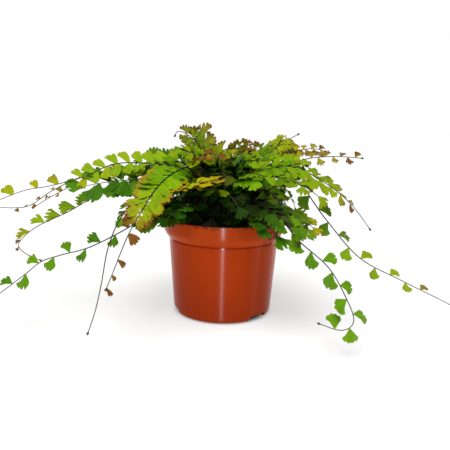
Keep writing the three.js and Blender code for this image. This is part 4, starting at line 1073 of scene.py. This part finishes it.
# One frond, its stalk and then its leaflets: points with faces, uv, marks, what each face is, and how many leaflets.
def growFrond(look, seed):
    stalk, leafyEnd = Stalk(look["way"], look["face"]), look["whip"] <= stalkShape["leafyWhip"]
    if leafyEnd:
        stalk.length -= leafShape["tipRoom"] * look["leaf"] * (1 - look["taper"])
    (stemPoints, stemFaces), share = stalkTube(stalk, look)
    distance, side, size, age = leafletsOf(look, stalk.length)
    leaves = leafletPoints(stalk.at(distance), look, side, size, seed)
    if leafyEnd:
        leaves = np.concatenate([leaves, tipLeaflet(stalk, look, seed + seeds["tip"])])
        age = np.append(age, 1)
    count, each = leaves.shape[:2]
    leafFaces = (fanFaces + (len(stemPoints) + np.arange(count) * each)[:, None, None]).reshape(-1, 4)
    random = np.random.RandomState(seed + seeds["marks"])
    tint = runs(look["tint"], age) + random.uniform(-leafShape["tint"], leafShape["tint"], count)
    blush = runs(look["blush"], np.clip(age, 0, 1.2) ** 2.2)
    blush = np.clip(blush * random.uniform(*leafShape["blush"], count), 0, 1)
    onStem = np.repeat(share, stalkShape["sides"])
    onLeaf = np.stack([tint, blush, np.full(count, look["edge"])])
    marks = np.hstack([np.outer([1, 0, 0], onStem), np.repeat(onLeaf, each, axis=1)])
    fanUv = np.stack([fanAcross + 0.5, fanOut], axis=-1)
    fanUv = np.vstack([fanUv, fanUv[fanInside]])
    stemUv = np.stack([np.tile(np.arange(stalkShape["sides"]) / stalkShape["sides"], len(share)), onStem], axis=-1)
    shape = np.vstack([stemPoints, leaves.reshape(-1, 3)]), stemFaces + leafFaces.tolist()
    kinds = np.repeat([0, 1], [len(stemFaces), len(leafFaces)])
    return shape, np.vstack([stemUv, np.tile(fanUv, (count, 1))]), marks, kinds, count


# One piece of one or more fronds, with stalk and leaf materials; returns its count of leaflets.
def makeFronds(name, looks, seed, nodes=()):
    looks = [{**plainFrond, **look} for look in looks]
    grown = [growFrond(look, seed + seeds["nextFrond"] * i) for i, look in enumerate(looks)]
    shapes, uv, marks, kinds, counts = zip(*grown)
    points, faces = joined(shapes)
    marks = dict(zip(("tint", "blush", "edge"), np.hstack(marks)))
    skins = [wireStalk, shadeBlade if looks[0]["shaded"] else leafBlade]
    uv, kinds = np.vstack(uv), np.hstack(kinds)
    makePiece(name, points * mm, faces, skins, nodes, uv, marks, kinds, leafShape["crease"])
    return sum(counts)


# The fronds of a group dealt out to its pieces.
def makeGroup(group, looks):
    name, slot, pieces, seed, step = (group[key] for key in ("name", "slot", "pieces", "seed", "seedStep"))
    return sum(makeFronds(f"{name}_{i + 1}", looks[i::pieces], seed + step * i) for i in range(pieces))


# The ramp's darkest stops, near black, are painted shade; shadeGloss is for the shaded copy of the leaf tissue.
leafColours = dict(
    ramp=[(0, "#aba507"), (0.22, "#86af02"), (0.45, "#5d9202"), (0.7, "#275f03"), (0.88, "#083904"), (1, "#011201")],
    brown="#6b3418", orange="#c07a1c", vein="#a8c030", veins=11, gloss=0.03, shadeGloss=0.015,
    stalk="#0e0605", stalkTip="#4c3d2a",
)


# Leaf tissue: green by age, darkened to near black by painted shade where the tint is high, veins fanning from the
# stalk, brown at the tip of the frond and along its margins.
def bladeSkin(name, gloss):
    blade = Recipe(name, Specular_IOR_Level=gloss)
    place = blade.place()
    uv = blade.node("ShaderNodeUVMap", {"uv_map": "leafMap"})
    across, out = blade.part(uv, "X"), blade.part(uv, "Y")
    patch, grain = blade.noise(place, 95.0, 3.0), blade.noise(place, 700.0, 3.0)
    patchy, grainy = patch - 0.5, grain - 0.5
    tint = blade.mark("tint") + patchy * 0.22 + grainy * 0.10
    green = blade.node("ShaderNodeValToRGB", {"stops": leafColours["ramp"]}, {"Fac": tint})
    fan = blade.maths("SINE", across * (2 * math.pi * leafColours["veins"]) + grainy * 1.2)
    veins = blade.between(fan, 0.55, 1.0) * blade.between(out, 0.05, 0.35)
    green = blade.mixed(veins * 0.16, green, leafColours["vein"])
    blush = blade.mark("blush")
    rim = blade.between(out + patchy * 0.7 + grainy * 0.25, 0.72, 1.0) * blade.mark("edge")
    gold = blade.maths("MAXIMUM", rim, blush * 0.6, clamp=True)
    rust = blade.between(blush * 0.9 + rim * 0.45 + patchy * 0.5 + out * 0.15, 0.45, 1.0)
    leaf = blade.mixed(gold * 0.8, green, leafColours["orange"])
    return blade.finish(
        Base_Color=blade.mixed(rust * 0.85, leaf, leafColours["brown"]),
        Roughness=0.42 + grain * 0.18 + rust * 0.15,
        Normal=blade.bump(veins * 0.6 + grain * 0.35 + patch * 0.4, 0.5, 0.0004),
    )


# A wiry stalk: near black at the foot, browner and greener towards the tip, finely ribbed along its length.
def stalkSkin(name, dark, light):
    skin = Recipe(name, Specular_IOR_Level=0.08)
    grain = skin.noise(skin.place(), 600.0, 3.0, 0.6)
    share = skin.between(skin.mark("tint") + (grain - 0.5) * 0.4, 0.35, 1.05)
    return skin.finish(
        Base_Color=skin.mixed(share, dark, light),
        Roughness=0.38 + grain * 0.25,
        Normal=skin.bump(grain, 0.4, 0.0002),
    )


makeCamera()
makeStudio()
makePot()
makeSoil()
makeCrown()

wireStalk = stalkSkin("wiryStalk", leafColours["stalk"], leafColours["stalkTip"])
leafBlade = bladeSkin("leafTissue", leafColours["gloss"])
# a shaded copy of the leaf tissue, less glossy: painted shade
shadeBlade = bladeSkin("shadeLeafTissue", leafColours["shadeGloss"])
leafCount, named = 0, namedFronds()
for i, (name, look) in enumerate(named.items()):
    leafCount += makeFronds("leafy_" + name, [look], seeds["fronds"] + i, [name])
print("fronds made:", len(named), "with", leafCount, "leaflets")
for i, (name, group) in enumerate(sprays.items()):
    seed, group = seeds["sprays"] + seeds["nextSpray"] * i, [{**sprayLook, **look} for look in group]
    leafCount += makeFronds("spray_" + name, group, seed)
looks = undergrowthLooks()
leafCount += makeGroup(backSprays, backSprayLooks()) + makeGroup(undergrowth, looks)
print("undergrowth made:", len(looks), "fronds;", leafCount, "leaflets in all")
